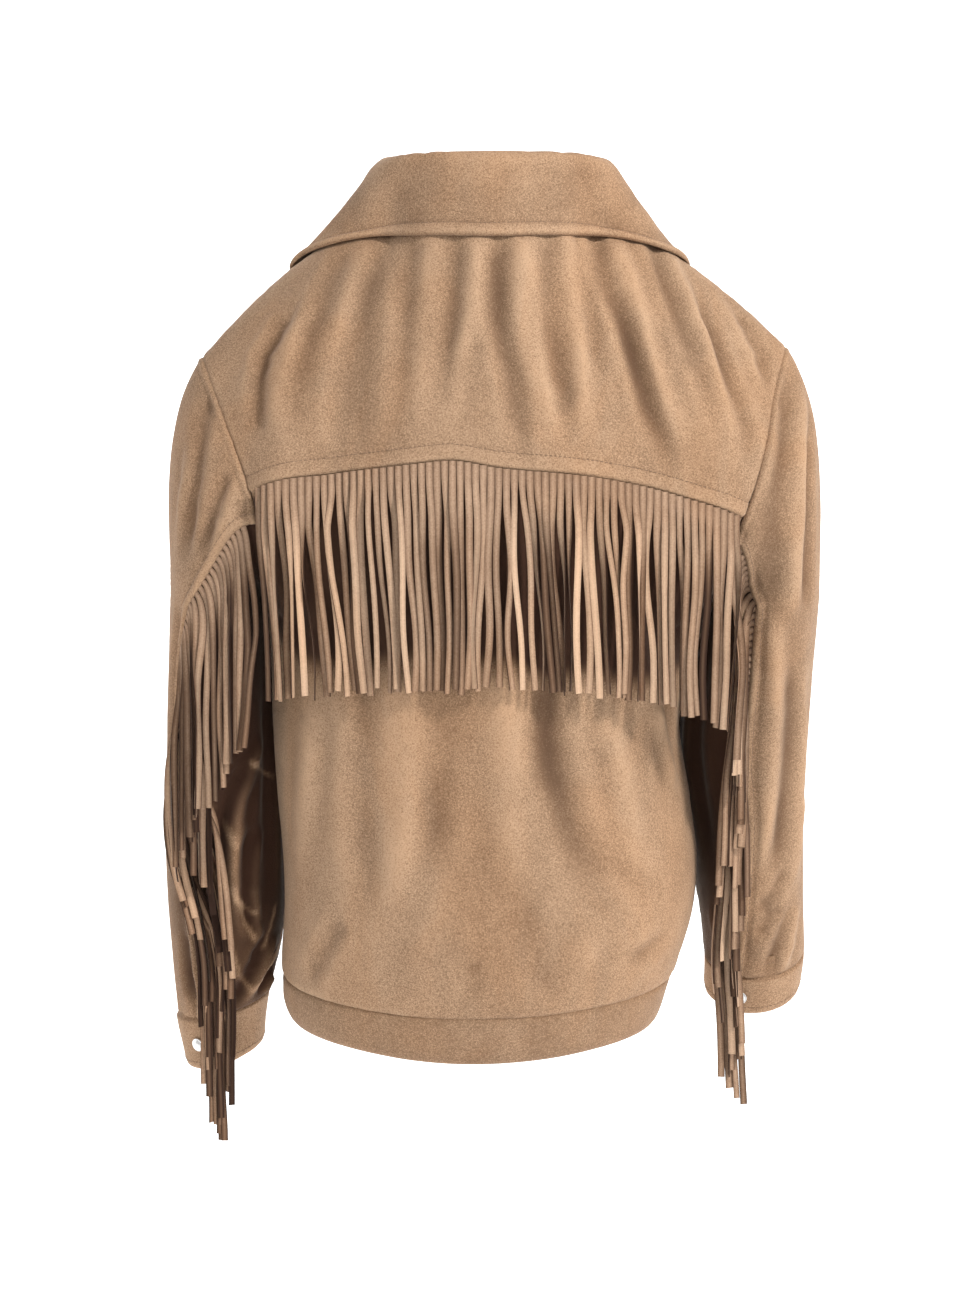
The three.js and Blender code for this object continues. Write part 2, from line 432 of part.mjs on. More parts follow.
// Hem band: one strip from the upper lap round the body to the under lap.
{
  const at = [];
  for (const s of steps(LAP_S, -1, 12)) at.push([-1, s, lapOut(s)]);
  for (const s of steps(-1, 1, 22).slice(1)) at.push([1, s, 0]);
  for (const s of steps(1, -LAP_S, 12).slice(1)) at.push([-1, s, lapIn(s)]);
  const rows = [-0.012, -0.5, -1];
  const nrm = at.map(([h, s]) => rows.map((t) => torsoNormal(h, s, t)));
  const outer = at.map(([h, s, off], i) => rows.map((t, j) => torso(h, s, t).addScaledVector(nrm[i][j], off)));
  add('hem_band', panel(outer, nrm, CLOTH, { j0: 1 }), TAN_DARK);
}

// Sleeves: an under piece from the underarm seam to the back seam, an upper piece the rest of the way round.
const CAP_V = [0, 0.2, 0.43, 0.66, 0.86, 1], ARM_V = [1.1, 1.24, 1.4, 1.58, 1.74, 1.88, 2];
for (const side of ['L', 'R']) {
  const { sign } = SIDES[side], name = side === 'L' ? 'left' : 'right';
  const wy = YOKE_W[side], w0 = SEAM_SHARE * wy;
  const under = TO_YOKE.slice(0, 5).map((f) => f * wy);
  const upper = [w0, wy, ...steps(wy, 0.5, YOKE_ROWS).slice(1), ...FRONT_UP.slice(0, 8).reverse().map((t) => 1 - (t - 1) / 2)];
  const vs = [...CAP_V, ...ARM_V];
  const place = (w, v) => (w <= w0 + 1e-9
    ? w * seamW(side, v) / w0
    : seamW(side, v) + (w - w0) * (1 - seamW(side, v)) / (1 - w0));
  const make = (ws) => {
    const outer = ws.map((w) => vs.map((v) => sleeve(side, place(w, v), v)));
    const nrm = ws.map((w) => vs.map((v) => (v === 0 ? armMitre(sign, w) : sleeveNormal(side, place(w, v), v))));
    return panel(outer, nrm, CLOTH, { i0: 1, i1: 1, j0: 1, j1: 1 });
  };
  add(`sleeve_${name}_under`, make(under));
  add(`sleeve_${name}_upper`, make(upper));

  // Cuff: a strip once round, lapped at the slit; the end nearer the outer side lies on top.
  const ws = seamW(side, 2), girth = 230, lap = BAND_LAP / girth;
  const cuffW = steps(ws - lap * 0.35, ws + 1 + lap * 0.65, 20), rows = [2.02, 2.5, 3];
  const off = (w) => LAP_STEP * (1 - smooth(ws + 0.16, ws + 0.3, w)) - LAP_STEP * smooth(ws + 0.7, ws + 0.84, w);
  const nrm = cuffW.map((w) => rows.map((v) => sleeveNormal(side, w, v)));
  const outer = cuffW.map((w, i) => rows.map((v, j) => smoothSleeve(side, w, v).addScaledVector(nrm[i][j], off(w) + 0.2)));
  add(`cuff_${name}`, panel(outer, nrm, CLOTH, { j0: 1 }), TAN_DARK);
}

// Coordinates (s, t) of the point of the upper torso seen at x, z from straight behind or in front.
function onTorso(half, x, z) {
  let lo = -1, hi = 1, s, t;
  for (let i = 0; i < 26; i++) {
    s = (lo + hi) / 2;
    let a = 0, b = 2;
    for (let k = 0; k < 24; k++) { const m = (a + b) / 2; if (smoothTorso(half, s, m).z > z) b = m; else a = m; }
    t = (a + b) / 2;
    if (smoothTorso(half, s, t).x > x) hi = s; else lo = s;
  }
  return [s, t];
}

// Back fringe: a curtain hung from the yoke seam, clear of the back, standing off below the shoulder blades.
function backY(x, z) {
  return smoothTorso(1, ...onTorso(1, x, z)).y;
}
const FRINGE_END = table(['x', 'z'], [
  [-199, -394], [-191, -391], [-160, -380], [-130, -374], [-99, -368], [-53, -361], [-8, -358], [38, -360], [103, -364], [168, -368], [176, -366]]);
{
  const xs = [-199, -190, -176, ...steps(-160, 148, 18), 162, 172, 177];
  const outer = [], inner = [];
  for (const x of xs) {
    const top = along(YOKE, 'x', 'z', x) - 2, end = along(FRINGE_END, 'x', 'z', x);
    const ro = [], ri = [];
    let y = -1e9;
    for (const f of [0, 0.1, 0.25, 0.45, 0.7, 1]) {
      const z = mix(top, end, f);
      for (const k of [-6, 0, 6, 12]) y = Math.max(y, backY(x, Math.min(top, z + k)) + 3.2);
      ri.push(new THREE.Vector3(x, y + FRINGE_CLEAR * f, z));
      ro.push(new THREE.Vector3(x, y + FRINGE_CLEAR * f + FRINGE_THICK, z));
    }
    outer.push(ro);
    inner.push(ri);
  }
  add('back_fringe', wall(outer, inner));
}

// Sleeve fringe: a curtain behind each sleeve, as wide as the strands spread at each height.
function sleeveBackY(side, x, z) {
  const { rings } = SIDES[side], g = (c) => along(rings, 'z', c, Math.max(z, rings[0].z));
  const q = Math.max(-0.97, Math.min(0.97, (x - (g('xo') + g('xi')) / 2) / ((g('xo') - g('xi')) / 2)));
  return g('yc') + g('b') * Math.sqrt(1 - q * q);
}
for (const side of ['L', 'R']) {
  const rows = side === 'L' ? SLEEVE_FRINGE_L : SLEEVE_FRINGE_R, { sign } = SIDES[side];
  const outer = [], inner = [];
  for (const r of rows) {
    const ro = [], ri = [];
    for (const f of steps(0, 1, 4)) {
      const x = mix(r.x0, r.x1, f);
      const y = Math.max(mix(r.y0, r.y1, f), sleeveBackY(side, x, Math.min(BICEP_Z, r.z)) + 5.2);
      ri.push(new THREE.Vector3(sign * x, y, r.z));
      ro.push(new THREE.Vector3(sign * x, y + FRINGE_THICK, r.z));
    }
    outer.push(ro);
    inner.push(ri);
  }
  add(`sleeve_${side === 'L' ? 'left' : 'right'}_fringe`, wall(outer, inner));
}

// Collar: one wall folded over its roll, from a front end round the neck to the other.
{
  const us = [-1, -0.92, -0.84, -0.75, -0.66, -0.58, -0.5, -0.44, -0.37, -0.31, -0.25, -0.19, -0.13, -0.07, 0,
    0.07, 0.13, 0.19, 0.25, 0.31, 0.37, 0.44, 0.5, 0.58, 0.66, 0.75, 0.84, 0.92, 1];
  const guide = (rows, u) => { const p = point(rows, 'u', Math.abs(u)); if (u < 0) p.x = -p.x; p.x += ROLL_SHIFT * (1 - smooth(0.6, 1, Math.abs(u))); return p; };
  const neck = (u) => {
    const q = Math.abs(u), front = q > 0.5;
    const p = point(front ? NECK_FRONT : NECK_BACK, 'f', front ? 1 - (q - 0.5) / 0.5 * COLLAR_END : q / 0.5);
    if (u < 0) p.x = -p.x;
    return p;
  };
  const edge = (u) => {
    const q = Math.abs(u), sign = u < 0 ? -1 : 1, half = q > 0.5 ? -1 : 1;
    const x = sign * along(COLLAR_EDGE, 'u', 'x', q), z = along(COLLAR_EDGE, 'u', 'z', q);
    if (Math.abs(q - 0.5) < 1e-9) {
      const ridge = sign > 0 ? RIDGE_L : RIDGE_R;
      let f = 0.5;
      for (let i = 0; i < 30; i++) f += (Math.abs(x) - Math.abs(point(ridge, 'f', f).x)) / 160;
      const m = ridgeMitre(f, sign);
      return [point(ridge, 'f', f).addScaledVector(m, COLLAR_OVER), m.normalize()];
    }
    const [s, t] = onTorso(half, x, z), n = torsoNormal(half, s, t);
    return [torso(half, s, t).addScaledVector(n, COLLAR_OVER), n];
  };
  const section = (u) => {
    const n = neck(u), r = guide(COLLAR_ROLL, u), [e, en] = edge(u);
    n.addScaledVector(r.clone().sub(n).normalize(), 3.2);
    const away = new THREE.Vector3(e.x - n.x, e.y - n.y, 0).normalize();
    const rise = r.clone().sub(n), fall = e.clone().sub(r);
    const pts = [n, n.clone().addScaledVector(rise, 0.45), n.clone().addScaledVector(rise, 0.84)];
    const side = smooth(0.2, 0.42, Math.abs(u)) * (1 - smooth(0.62, 0.8, Math.abs(u)));
    const t0 = away.clone().multiplyScalar(fall.length() * mix(0.75, 0.3, side));
    const t1 = fall.clone().addScaledVector(en, -fall.dot(en)).normalize().multiplyScalar(fall.length() * mix(0.9, 1.25, side));
    const lift = new THREE.Vector3(0, 0, 2.6);
    for (const k of [0, 0.16, 0.36, 0.6, 0.82, 1]) pts.push(hermite(r.clone().add(lift), t0, e, t1, k));
    return pts;
  };
  const mid = us.map(section), nj = mid[0].length;
  const outer = [], inner = [];
  for (let i = 0; i < us.length; i++) {
    const ro = [], ri = [];
    for (let j = 0; j < nj; j++) {
      const du = mid[Math.min(us.length - 1, i + 1)][j].clone().sub(mid[Math.max(0, i - 1)][j]);
      const dv = mid[i][Math.min(nj - 1, j + 1)].clone().sub(mid[i][Math.max(0, j - 1)]);
      const n = du.cross(dv).normalize().multiplyScalar(COLLAR_WALL / 2);
      ro.push(mid[i][j].clone().add(n));
      ri.push(mid[i][j].clone().sub(n));
    }
    outer.push(ro);
    inner.push(ri);
  }
  add('collar', wall(outer, inner), TAN_DARK);
}

// Snap caps: a low dome on a thin rim, its axis along the cloth's normal.
function snap(name, at, normal) {
  const profile = [[0, 0], [SNAP_R, 0], [SNAP_R, 0.7], [SNAP_R * 0.72, SNAP_H * 0.8], [0, SNAP_H]];
  const g = new THREE.LatheGeometry(profile.map(([r, h]) => new THREE.Vector2(r, h)), 12);
  const m = add(name, g, METAL, 0.3, 0.9);
  m.quaternion.setFromUnitVectors(new THREE.Vector3(0, 1, 0), normal);
  m.position.copy(at).addScaledVector(normal, 1);
  return m;
}
const SNAPS = table(['name', 't'], [
  ['front_snap_1', 1.62], ['front_snap_2', 1.28], ['front_snap_3', 0.86], ['front_snap_4', 0.5], ['front_snap_5', 0.14], ['band_snap', -0.5]]);
for (const r of SNAPS) {
  const n = torsoNormal(-1, 0, r.t);
  snap(r.name, torso(-1, 0, r.t).addScaledVector(n, LAP_STEP), n);
}
for (const [side, name, dw] of [['L', 'cuff_left_snap', 0.03], ['R', 'cuff_right_snap', 0.03]]) {
  const w = seamW(side, 2) + dw, n = sleeveNormal(side, w, 2.5);
  snap(name, smoothSleeve(side, w, 2.5).addScaledVector(n, LAP_STEP + 0.9), n);
}

export default jacket;
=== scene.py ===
"""The looks of a fringed faux-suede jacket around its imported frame. Lengths are in millimetres until a mesh is made."""
import math

import bpy
import numpy as np
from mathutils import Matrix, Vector
from mathutils.bvhtree import BVHTree


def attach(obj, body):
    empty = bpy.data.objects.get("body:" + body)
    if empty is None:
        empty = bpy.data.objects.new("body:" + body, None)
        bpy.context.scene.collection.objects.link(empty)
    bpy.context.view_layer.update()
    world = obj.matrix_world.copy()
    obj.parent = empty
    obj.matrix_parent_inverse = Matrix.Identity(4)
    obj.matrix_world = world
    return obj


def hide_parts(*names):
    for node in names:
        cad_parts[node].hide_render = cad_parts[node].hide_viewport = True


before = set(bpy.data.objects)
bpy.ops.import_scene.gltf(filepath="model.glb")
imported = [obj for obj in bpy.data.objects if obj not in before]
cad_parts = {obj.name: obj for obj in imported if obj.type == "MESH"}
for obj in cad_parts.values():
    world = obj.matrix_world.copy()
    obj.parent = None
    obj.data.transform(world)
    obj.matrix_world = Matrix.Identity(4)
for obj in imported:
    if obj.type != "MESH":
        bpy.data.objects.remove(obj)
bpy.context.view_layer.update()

# ------------------------------------------------------------------ driving sizes
CLOTH = 1.4                    # cloth thickness
COLLAR_WALL = 2.6
UNDERARM_Z = -290
ROW_DIP = 62
BICEP_Z = -305
NECK_BACK_S, NECK_FRONT_S = 0.33, 0.38
SEAM_SHARE = 0.78
LAP, LAP_STEP, BAND_LAP = 15, 1.5, 20
COLLAR_OVER, COLLAR_END, ROLL_SHIFT = 3.6, 0.9, -4
PITCH_FRINGE = 5.9             # one strand to the next
STITCH, STITCH_GAP, THREAD = 2.7, 0.9, 0.5


class Table:
    """Named columns over a key column, joined by a smooth curve through the rows."""

    def __init__(self, cols, rows, loop=False):
        a = np.array(rows, float)
        self.k = a[:, 0]
        self.cols = cols.split()
        self.val = {c: a[:, i] for i, c in enumerate(self.cols)}
        h = np.diff(self.k)
        self.slope = {}
        for c in self.cols[1:]:
            v = self.val[c]
            d = np.diff(v) / h
            m = np.empty(len(v))
            m[1:-1] = (d[:-1] * h[1:] + d[1:] * h[:-1]) / (h[:-1] + h[1:])
            if loop:
                m[0] = m[-1] = (d[-1] * h[0] + d[0] * h[-1]) / (h[-1] + h[0])
            else:
                m[0], m[-1] = d[0], d[-1]
            self.slope[c] = m

    def at(self, col, q):
        q = np.asarray(q, float)
        i = np.clip(np.searchsorted(self.k, q, side="left") - 1, 0, len(self.k) - 2)
        h = self.k[i + 1] - self.k[i]
        u = (q - self.k[i]) / h
        v, m = self.val[col], self.slope[col]
        u2 = u * u
        u3 = u2 * u
        return ((2 * u3 - 3 * u2 + 1) * v[i] + (u3 - 2 * u2 + u) * m[i] * h
                + (3 * u2 - 2 * u3) * v[i + 1] + (u3 - u2) * m[i + 1] * h)

    def xyz(self, q):
        return np.stack([self.at(c, q) for c in "xyz"], -1)


# ------------------------------------------------------------------ the cut: body, armholes, sleeves, collar
BODY = Table("z xc a back front", [
    [-664, 12, 141, 109, 111], [-640, 13, 151, 116, 118], [-620, 11.5, 155.5, 121, 123],
    [-600, 8.5, 160, 124, 126], [-560, 1.5, 164.5, 123.5, 127], [-515, 0, 166.5, 119, 126],
    [-470, 4.5, 165.5, 115, 127], [-400, 11, 163, 113, 130], [-350, 6, 169, 117, 134],
    [-290, 0, 180, 125, 137]])
ARM_L = Table("w x y z", [
    [0, 180, 0, -290], [0.10, 177, 58, -277], [0.19, 177.5, 84, -246], [0.26, 183, 88, -218],
    [0.33, 194, 76, -188], [0.41, 211, 46, -150], [0.5, 227, 2, -115], [0.59, 213, -42, -150],
    [0.67, 193, -76, -186], [0.75, 180, -95, -222], [0.83, 175, -90, -252], [0.91, 177, -58, -280],
    [1, 180, 0, -290]], loop=True)
ARM_R = Table("w x y z", [
    [0, -180, 0, -290], [0.10, -183, 58, -276], [0.19, -191, 84, -244], [0.26, -203, 88, -212],
    [0.33, -213, 75, -178], [0.41, -221, 46, -142], [0.5, -233, 2, -107], [0.59, -220, -42, -143],
    [0.67, -200, -76, -180], [0.75, -186, -95, -218], [0.83, -178, -90, -250], [0.91, -178, -58, -279],
    [1, -180, 0, -290]], loop=True)
RIDGE_L = Table("f x y z", [
    [0, 78, 0, -2], [0.27, 118, 0, -20], [0.52, 156, 0, -46], [0.765, 192, 0, -78], [1, 227, 2, -115]])
RIDGE_R = Table("f x y z", [
    [0, -78, 0, -2], [0.26, -118, 0, -18], [0.52, -158, 0, -44], [0.775, -198, 0, -75], [1, -233, 2, -107]])
NECK_BACK = Table("f x y z", [[0, 0, 60, 8], [0.42, 32, 54, 7], [0.75, 60, 33, 3.5], [1, 78, 0, -2]])
NECK_FRONT = Table("f x y z", [[0, 0, -98, -84], [0.36, 34, -86, -70], [0.72, 62, -54, -38], [1, 78, 0, -2]])
YOKE = Table("x z", [
    [-206, -240], [-192, -231], [-145, -214.2], [-84, -199.2], [-8, -190.7], [34, -185.4],
    [45, -186.6], [121, -197.4], [175, -207.5], [186, -214]])
SLEEVE_L = Table("z xo xi b yc drop lean", [
    [-694, 249, 187, 40, -47, 9, 4], [-648, 257, 182, 43, -43, 9, 3], [-625, 259.5, 176, 48, -40, 7, 3],
    [-592, 262, 171, 54, -38, 4, 2], [-558, 264, 169, 57, -36, 2, 1], [-509, 265, 170, 59, -33, 0, 0],
    [-443, 262.5, 173, 62, -27, 0, 0], [-361, 258, 181, 68, -14, 0, 0], [-305, 254.5, 187, 73, -6, 0, 0]])
SLEEVE_R = Table("z xo xi b yc drop lean", [
    [-644, 257.5, 177, 38, -66, -2, 15], [-611, 260, 177, 42, -60, -2, 14], [-594, 259.5, 175.5, 48, -56, -1, 9],
    [-558, 258, 171, 55, -50, 0, 4], [-492, 256.5, 165, 60, -44, 0, 0], [-440, 257.5, 159, 62, -38, 0, 0],
    [-361, 260.5, 173, 68, -20, 0, 0], [-305, 262.4, 189, 73, -6, 0, 0]])
PRESS_AT = 3.75
PRESS = {
    "L": Table("z d", [[-694, 0], [-625, 0], [-592, 2], [-558, 3], [-509, 2], [-443, 2], [-400, 4], [-361, 7],
                       [-330, 9.5], [-305, 8]]),
    "R": Table("z d", [[-644, 0], [-575, 0], [-540, 3], [-515, 3], [-492, 4], [-470, 3], [-440, 6], [-400, 16],
                       [-361, 15], [-330, 11], [-305, 7.5]])}
CUFF_SEAM = {"L": -648, "R": -611}
CUFF_BOTTOM = {"L": -690, "R": -640}
CAP_DIR = Table("w x y z", [
    [0, 0.55, 0, -0.85], [0.10, 0.75, 0.15, -0.65], [0.19, 0.88, 0.10, -0.46], [0.26, 0.93, -0.02, -0.36],
    [0.33, 0.90, -0.05, -0.43], [0.41, 0.78, 0, -0.62], [0.5, 0.58, 0, -0.81], [0.59, 0.78, 0.05, -0.62],
    [0.67, 0.90, 0.10, -0.43], [0.75, 0.93, 0.05, -0.36], [0.83, 0.90, -0.10, -0.43], [0.91, 0.75, -0.15, -0.65],
    [1, 0.55, 0, -0.85]], loop=True)
COLLAR_ROLL = Table("u x y z", [
    [0, 0, 71, 41], [0.2, 48, 62, 40], [0.36, 78, 38, 36.5], [0.5, 88, 2, 31],
    [0.66, 78, -55, 3], [0.84, 52, -92, -36], [1, 22, -106, -62]])
COLLAR_EDGE = Table("u x z", [
    [0, 0, -18.5], [0.12, 40, -18], [0.22, 80, -20.5], [0.31, 110, -25], [0.4, 136, -33], [0.5, 155, -44],
    [0.6, 153, -62], [0.72, 142, -94], [0.86, 120, -130], [1, 94, -164]])

# ------------------------------------------------------------------ camera, as the picture was taken
PITCH = math.radians(9)
CAM_D, CAM_F, CAM_ZM = 2700.0, 3375.0, -352.0
CAM = np.array([0, CAM_D * math.cos(PITCH), CAM_ZM + CAM_D * math.sin(PITCH)])
LOOK = np.array([0, -math.cos(PITCH), -math.sin(PITCH)])
UP = np.array([0, -math.sin(PITCH), math.cos(PITCH)])
RIGHT = np.array([-1.0, 0, 0])


def to_picture(p):
    """Picture coordinates (980 x 1306) of points in mm."""
    v = np.asarray(p, float) - CAM
    w = v @ LOOK
    return np.stack([490 + CAM_F * (v @ RIGHT) / w, 653 - CAM_F * (v @ UP) / w], -1)


def from_picture(px, py, y):
    """(x, z) of the point on the plane y that is seen at px, py."""
    px, py, y = np.broadcast_arrays(np.asarray(px, float), np.asarray(py, float), np.asarray(y, float))
    d = LOOK + ((px - 490) / CAM_F)[..., None] * RIGHT + ((653 - py) / CAM_F)[..., None] * UP
    q = CAM + ((y - CAM[1]) / d[..., 1])[..., None] * d
    return q[..., 0], q[..., 2]


# ------------------------------------------------------------------ small maths
def smooth(a, b, x):
    u = np.clip((np.asarray(x, float) - a) / (b - a), 0, 1)
    return u * u * (3 - 2 * u)


def mix(a, b, u):
    return a + (b - a) * u


def unit(v):
    return v / np.maximum(np.linalg.norm(v, axis=-1, keepdims=True), 1e-12)


def hermite(p0, t0, p1, t1, u):
    u = np.asarray(u, float)[..., None]
    u2 = u * u
    u3 = u2 * u
    return ((2 * u3 - 3 * u2 + 1) * p0 + (u3 - 2 * u2 + u) * t0
            + (3 * u2 - 2 * u3) * p1 + (u3 - u2) * t1)


def lattice(seed):
    return np.random.default_rng(seed).uniform(-1, 1, (32, 32, 32))


LATTICE = [lattice(100 + k) for k in range(4)]


def noise(p, size, seed=0):
    """Smooth noise from -1 to 1 with features of about this size (mm, one number or one for each axis)."""
    q = np.asarray(p, float) / np.asarray(size, float) + 17.3 + 5.1 * seed
    i = np.floor(q).astype(int)
    f = q - i
    f = f * f * (3 - 2 * f)
    grid = LATTICE[seed % 4]
    out = 0
    for a in (0, 1):
        for b in (0, 1):
            for c in (0, 1):
                w = ((f[..., 0] if a else 1 - f[..., 0]) * (f[..., 1] if b else 1 - f[..., 1])
                     * (f[..., 2] if c else 1 - f[..., 2]))
                out = out + w * grid[(i[..., 0] + a) % 32, (i[..., 1] + b) % 32, (i[..., 2] + c) % 32]
    return out


def noise1(x, seed):
    x = np.asarray(x, float)
    return noise(np.stack([x, 0 * x + 3.7 * seed, 0 * x], -1), 1.0, seed)


# ------------------------------------------------------------------ body surface
def ring(half, s, z):
    phi, n = s * math.pi / 2, 2.25
    a, b = BODY.at("a", z), BODY.at("back" if half > 0 else "front", z)
    r = ((np.abs(np.sin(phi)) / a) ** n + (np.abs(np.cos(phi)) / b) ** n) ** (-1 / n)
    return np.stack([BODY.at("xc", z) + r * np.sin(phi), half * r * np.cos(phi), z + 0 * s], -1)


def band_top(half, s):
    return -612 - (10 if half > 0 else 4) * np.cos(s * math.pi / 2) ** 2


def band_bottom(half, s):
    return -648 - (12.5 if half > 0 else 4) * np.cos(s * math.pi / 2) ** 2


def row_one(s):
    return UNDERARM_Z - ROW_DIP * (1 - s * s)


def armhole(sign, w):
    w = w - np.floor(w)
    return np.where((np.asarray(sign) > 0)[..., None], ARM_L.xyz(w), ARM_R.xyz(w))


def upper_edge(half, s):
    sn = NECK_BACK_S if half > 0 else NECK_FRONT_S
    q = np.abs(s)
    f = np.clip((q - sn) / (1 - sn), 0, 1)
    ridge = np.where((s > 0)[..., None], RIDGE_L.xyz(f), RIDGE_R.xyz(f))
    neck = (NECK_BACK if half > 0 else NECK_FRONT).xyz(np.minimum(q / sn, 1))
    neck[..., 0] *= np.where(s < 0, -1, 1)
    return np.where((q >= sn)[..., None], ridge, neck)


ROUND = {}
for half_ in (1, -1):
    rows_ = []
    for k_ in range(51):
        s_ = k_ / 25 - 1
        h_ = min(0.2, 1 - abs(s_))
        i_ = np.arange(-6, 7)
        w_ = np.cos(i_ / 7 * math.pi / 2)
        p_ = (upper_edge(half_, s_ + h_ * i_ / 6) * w_[:, None]).sum(0) / w_.sum()
        rows_.append([s_, *p_])
    ROUND[half_] = Table("s x y z", rows_)


def column(half, s, u):
    q = np.abs(s)
    sn = NECK_BACK_S if half > 0 else NECK_FRONT_S
    z0 = row_one(s)
    p0, p1 = ring(half, s, z0), ROUND[half].xyz(s)
    side = smooth(0.5, 0.97, q)[..., None]
    slope = (ring(half, s, z0 + 2) - ring(half, s, z0 - 2)) / 4
    t0 = (slope * (1 - side) + side * np.array([0, half * 0.97, 0.22])) * (370 if half > 0 else 300)
    k = 1 - smooth(0.2, 1.3, q / sn)
    t1 = (np.stack([0 * k, mix(-250, -150, k), 150 * k], -1) if half > 0
          else np.stack([0 * k, mix(235, 60, k), 120 * k], -1))
    return hermite(p0, t0, p1, t1, u) + (upper_edge(half, s) - p1) * (smooth(0.55, 1, u) ** 1.5)[..., None]


def body(half, s, t):
    """Point of the torso. half 1 back, -1 front; s -1 to 1 across; t -1 band bottom, 0 band seam, 1 underarm row, 2 top."""
    s, t = np.broadcast_arrays(np.asarray(s, float), np.asarray(t, float))
    top = band_top(half, s)
    z = np.where(t >= 0, mix(top, row_one(s), np.clip(t, 0, 1)), mix(top, band_bottom(half, s), np.clip(-t, 0, 9)))
    low = ring(half, s, z)
    u = np.clip(t - 1, 0, 1)
    up = column(half, s, u)
    pull = smooth(0.5, 1, np.abs(s))[..., None]
    side = np.where(s > 0, 1.0, -1.0)
    w = u / 2 if half > 0 else 1 - u / 2
    up = up + (armhole(side, w) - column(half, side, u)) * pull
    if half > 0:
        up[..., 1] += 5 * np.sin(math.pi * np.minimum(1, u / 0.6)) ** 2 * (1 - smooth(0.3, 1, np.abs(s)))
    return np.where((t <= 1)[..., None], low, up)


def on_body(half, x, z):
    """(s, t) of the body point that is at x, z seen square from behind or in front."""
    x, z = np.asarray(x, float), np.asarray(z, float)
    lo, hi = -np.ones_like(x), np.ones_like(x)
    for _ in range(24):
        s = (lo + hi) / 2
        a, b = np.full_like(x, -1), np.full_like(x, 2)
        for _ in range(20):
            m = (a + b) / 2
            over = body(half, s, m)[..., 2] > z
            b, a = np.where(over, m, b), np.where(over, a, m)
        t = (a + b) / 2
        right = body(half, s, t)[..., 0] > x
        hi, lo = np.where(right, s, hi), np.where(right, lo, s)
    return s, t


def yoke_t(s):
    s = np.asarray(s, float)
    lo, hi = np.full_like(s, 1.02), np.full_like(s, 1.95)
    for _ in range(36):
        m = (lo + hi) / 2
        p = body(1, s, m)
        over = p[..., 2] > YOKE.at("z", p[..., 0])
        hi, lo = np.where(over, m, hi), np.where(over, lo, m)
    return (lo + hi) / 2


YOKE_W = {"L": float(yoke_t(1.0) - 1) / 2, "R": float(yoke_t(-1.0) - 1) / 2}
SIGN = {"L": 1, "R": -1}
RINGS = {"L": SLEEVE_L, "R": SLEEVE_R}
SEAM = {
    "L": Table("v w", [[0, SEAM_SHARE * YOKE_W["L"]], [1, 0.318], [1.09, 0.353], [1.23, 0.376], [1.46, 0.365],
                       [1.7, 0.343], [1.82, 0.317], [2, 0.305]]),
    "R": Table("v w", [[0, SEAM_SHARE * YOKE_W["R"]], [1, 0.172], [1.18, 0.206], [1.4, 0.226], [1.62, 0.228],
                       [1.84, 0.203], [2, 0.172]])}


def seam_w(side, v):
    return SEAM[side].at("w", np.clip(v, 0, 2))


def sleeve_ring(side, w, z):
    g = RINGS[side]
    psi = math.pi * (1 - 2 * w)
    xo, xi = g.at("xo", z), g.at("xi", z)
    over = PRESS[side].at("d", z) * np.maximum(0, np.cos(psi - PRESS_AT)) ** 3
    return np.stack([SIGN[side] * ((xo + xi) / 2 + (xo - xi) / 2 * np.cos(psi) - over),
                     g.at("yc", z) + g.at("b", z) * np.sin(psi),
                     z - g.at("drop", z) * np.cos(psi) - g.at("lean", z) * np.sin(psi)], -1)


def sleeve(side, w, v):
    """Point of a sleeve. w once round from the underarm over the back; v 0 armhole, 1 upper arm, 2 cuff seam, 3 cuff bottom."""
    w, v = np.broadcast_arrays(np.asarray(w, float), np.asarray(v, float))
    w = w - np.floor(w)
    z = np.where(v > 2, mix(CUFF_SEAM[side], CUFF_BOTTOM[side], v - 2), mix(BICEP_Z, CUFF_SEAM[side], np.clip(v, 1, 2) - 1))
    low = sleeve_ring(side, w, z)
    p0, p1 = armhole(np.full(w.shape, SIGN[side]), w), sleeve_ring(side, w, np.full(w.shape, float(BICEP_Z)))
    d = np.linalg.norm(p0 - p1, axis=-1, keepdims=True)
    t0 = unit(CAP_DIR.xyz(w)) * d * 0.92
    t0[..., 0] *= SIGN[side]
    cap = hermite(p0, t0, p1, d * np.array([0, 0, -1.0]), np.clip(v, 0, 1))
    return np.where((v >= 1)[..., None], low, cap)


def normals(p):
    n = np.cross(np.gradient(p, axis=0), np.gradient(p, axis=1))
    return unit(n)


def body_normals(half, s, t):
    """Outward normals by small steps, the same on both sides of a seam between two panels of one half."""
    s, t = np.broadcast_arrays(np.asarray(s, float), np.asarray(t, float))
    e = 0.003
    a = body(half, np.minimum(1, s + e), t) - body(half, np.maximum(-1, s - e), t)
    b = body(half, s, np.minimum(2, t + e)) - body(half, s, np.maximum(-1, t - e))
    return unit(np.cross(a, b)) * -half


def sleeve_normals(side, w, v):
    w, v = np.broadcast_arrays(np.asarray(w, float), np.asarray(v, float))
    e = 0.002
    a = sleeve(side, w + e, v) - sleeve(side, w - e, v)
    b = sleeve(side, w, np.minimum(3, v + 2 * e)) - sleeve(side, w, np.maximum(0, v - 2 * e))
    return unit(np.cross(a, b)) * SIGN[side]


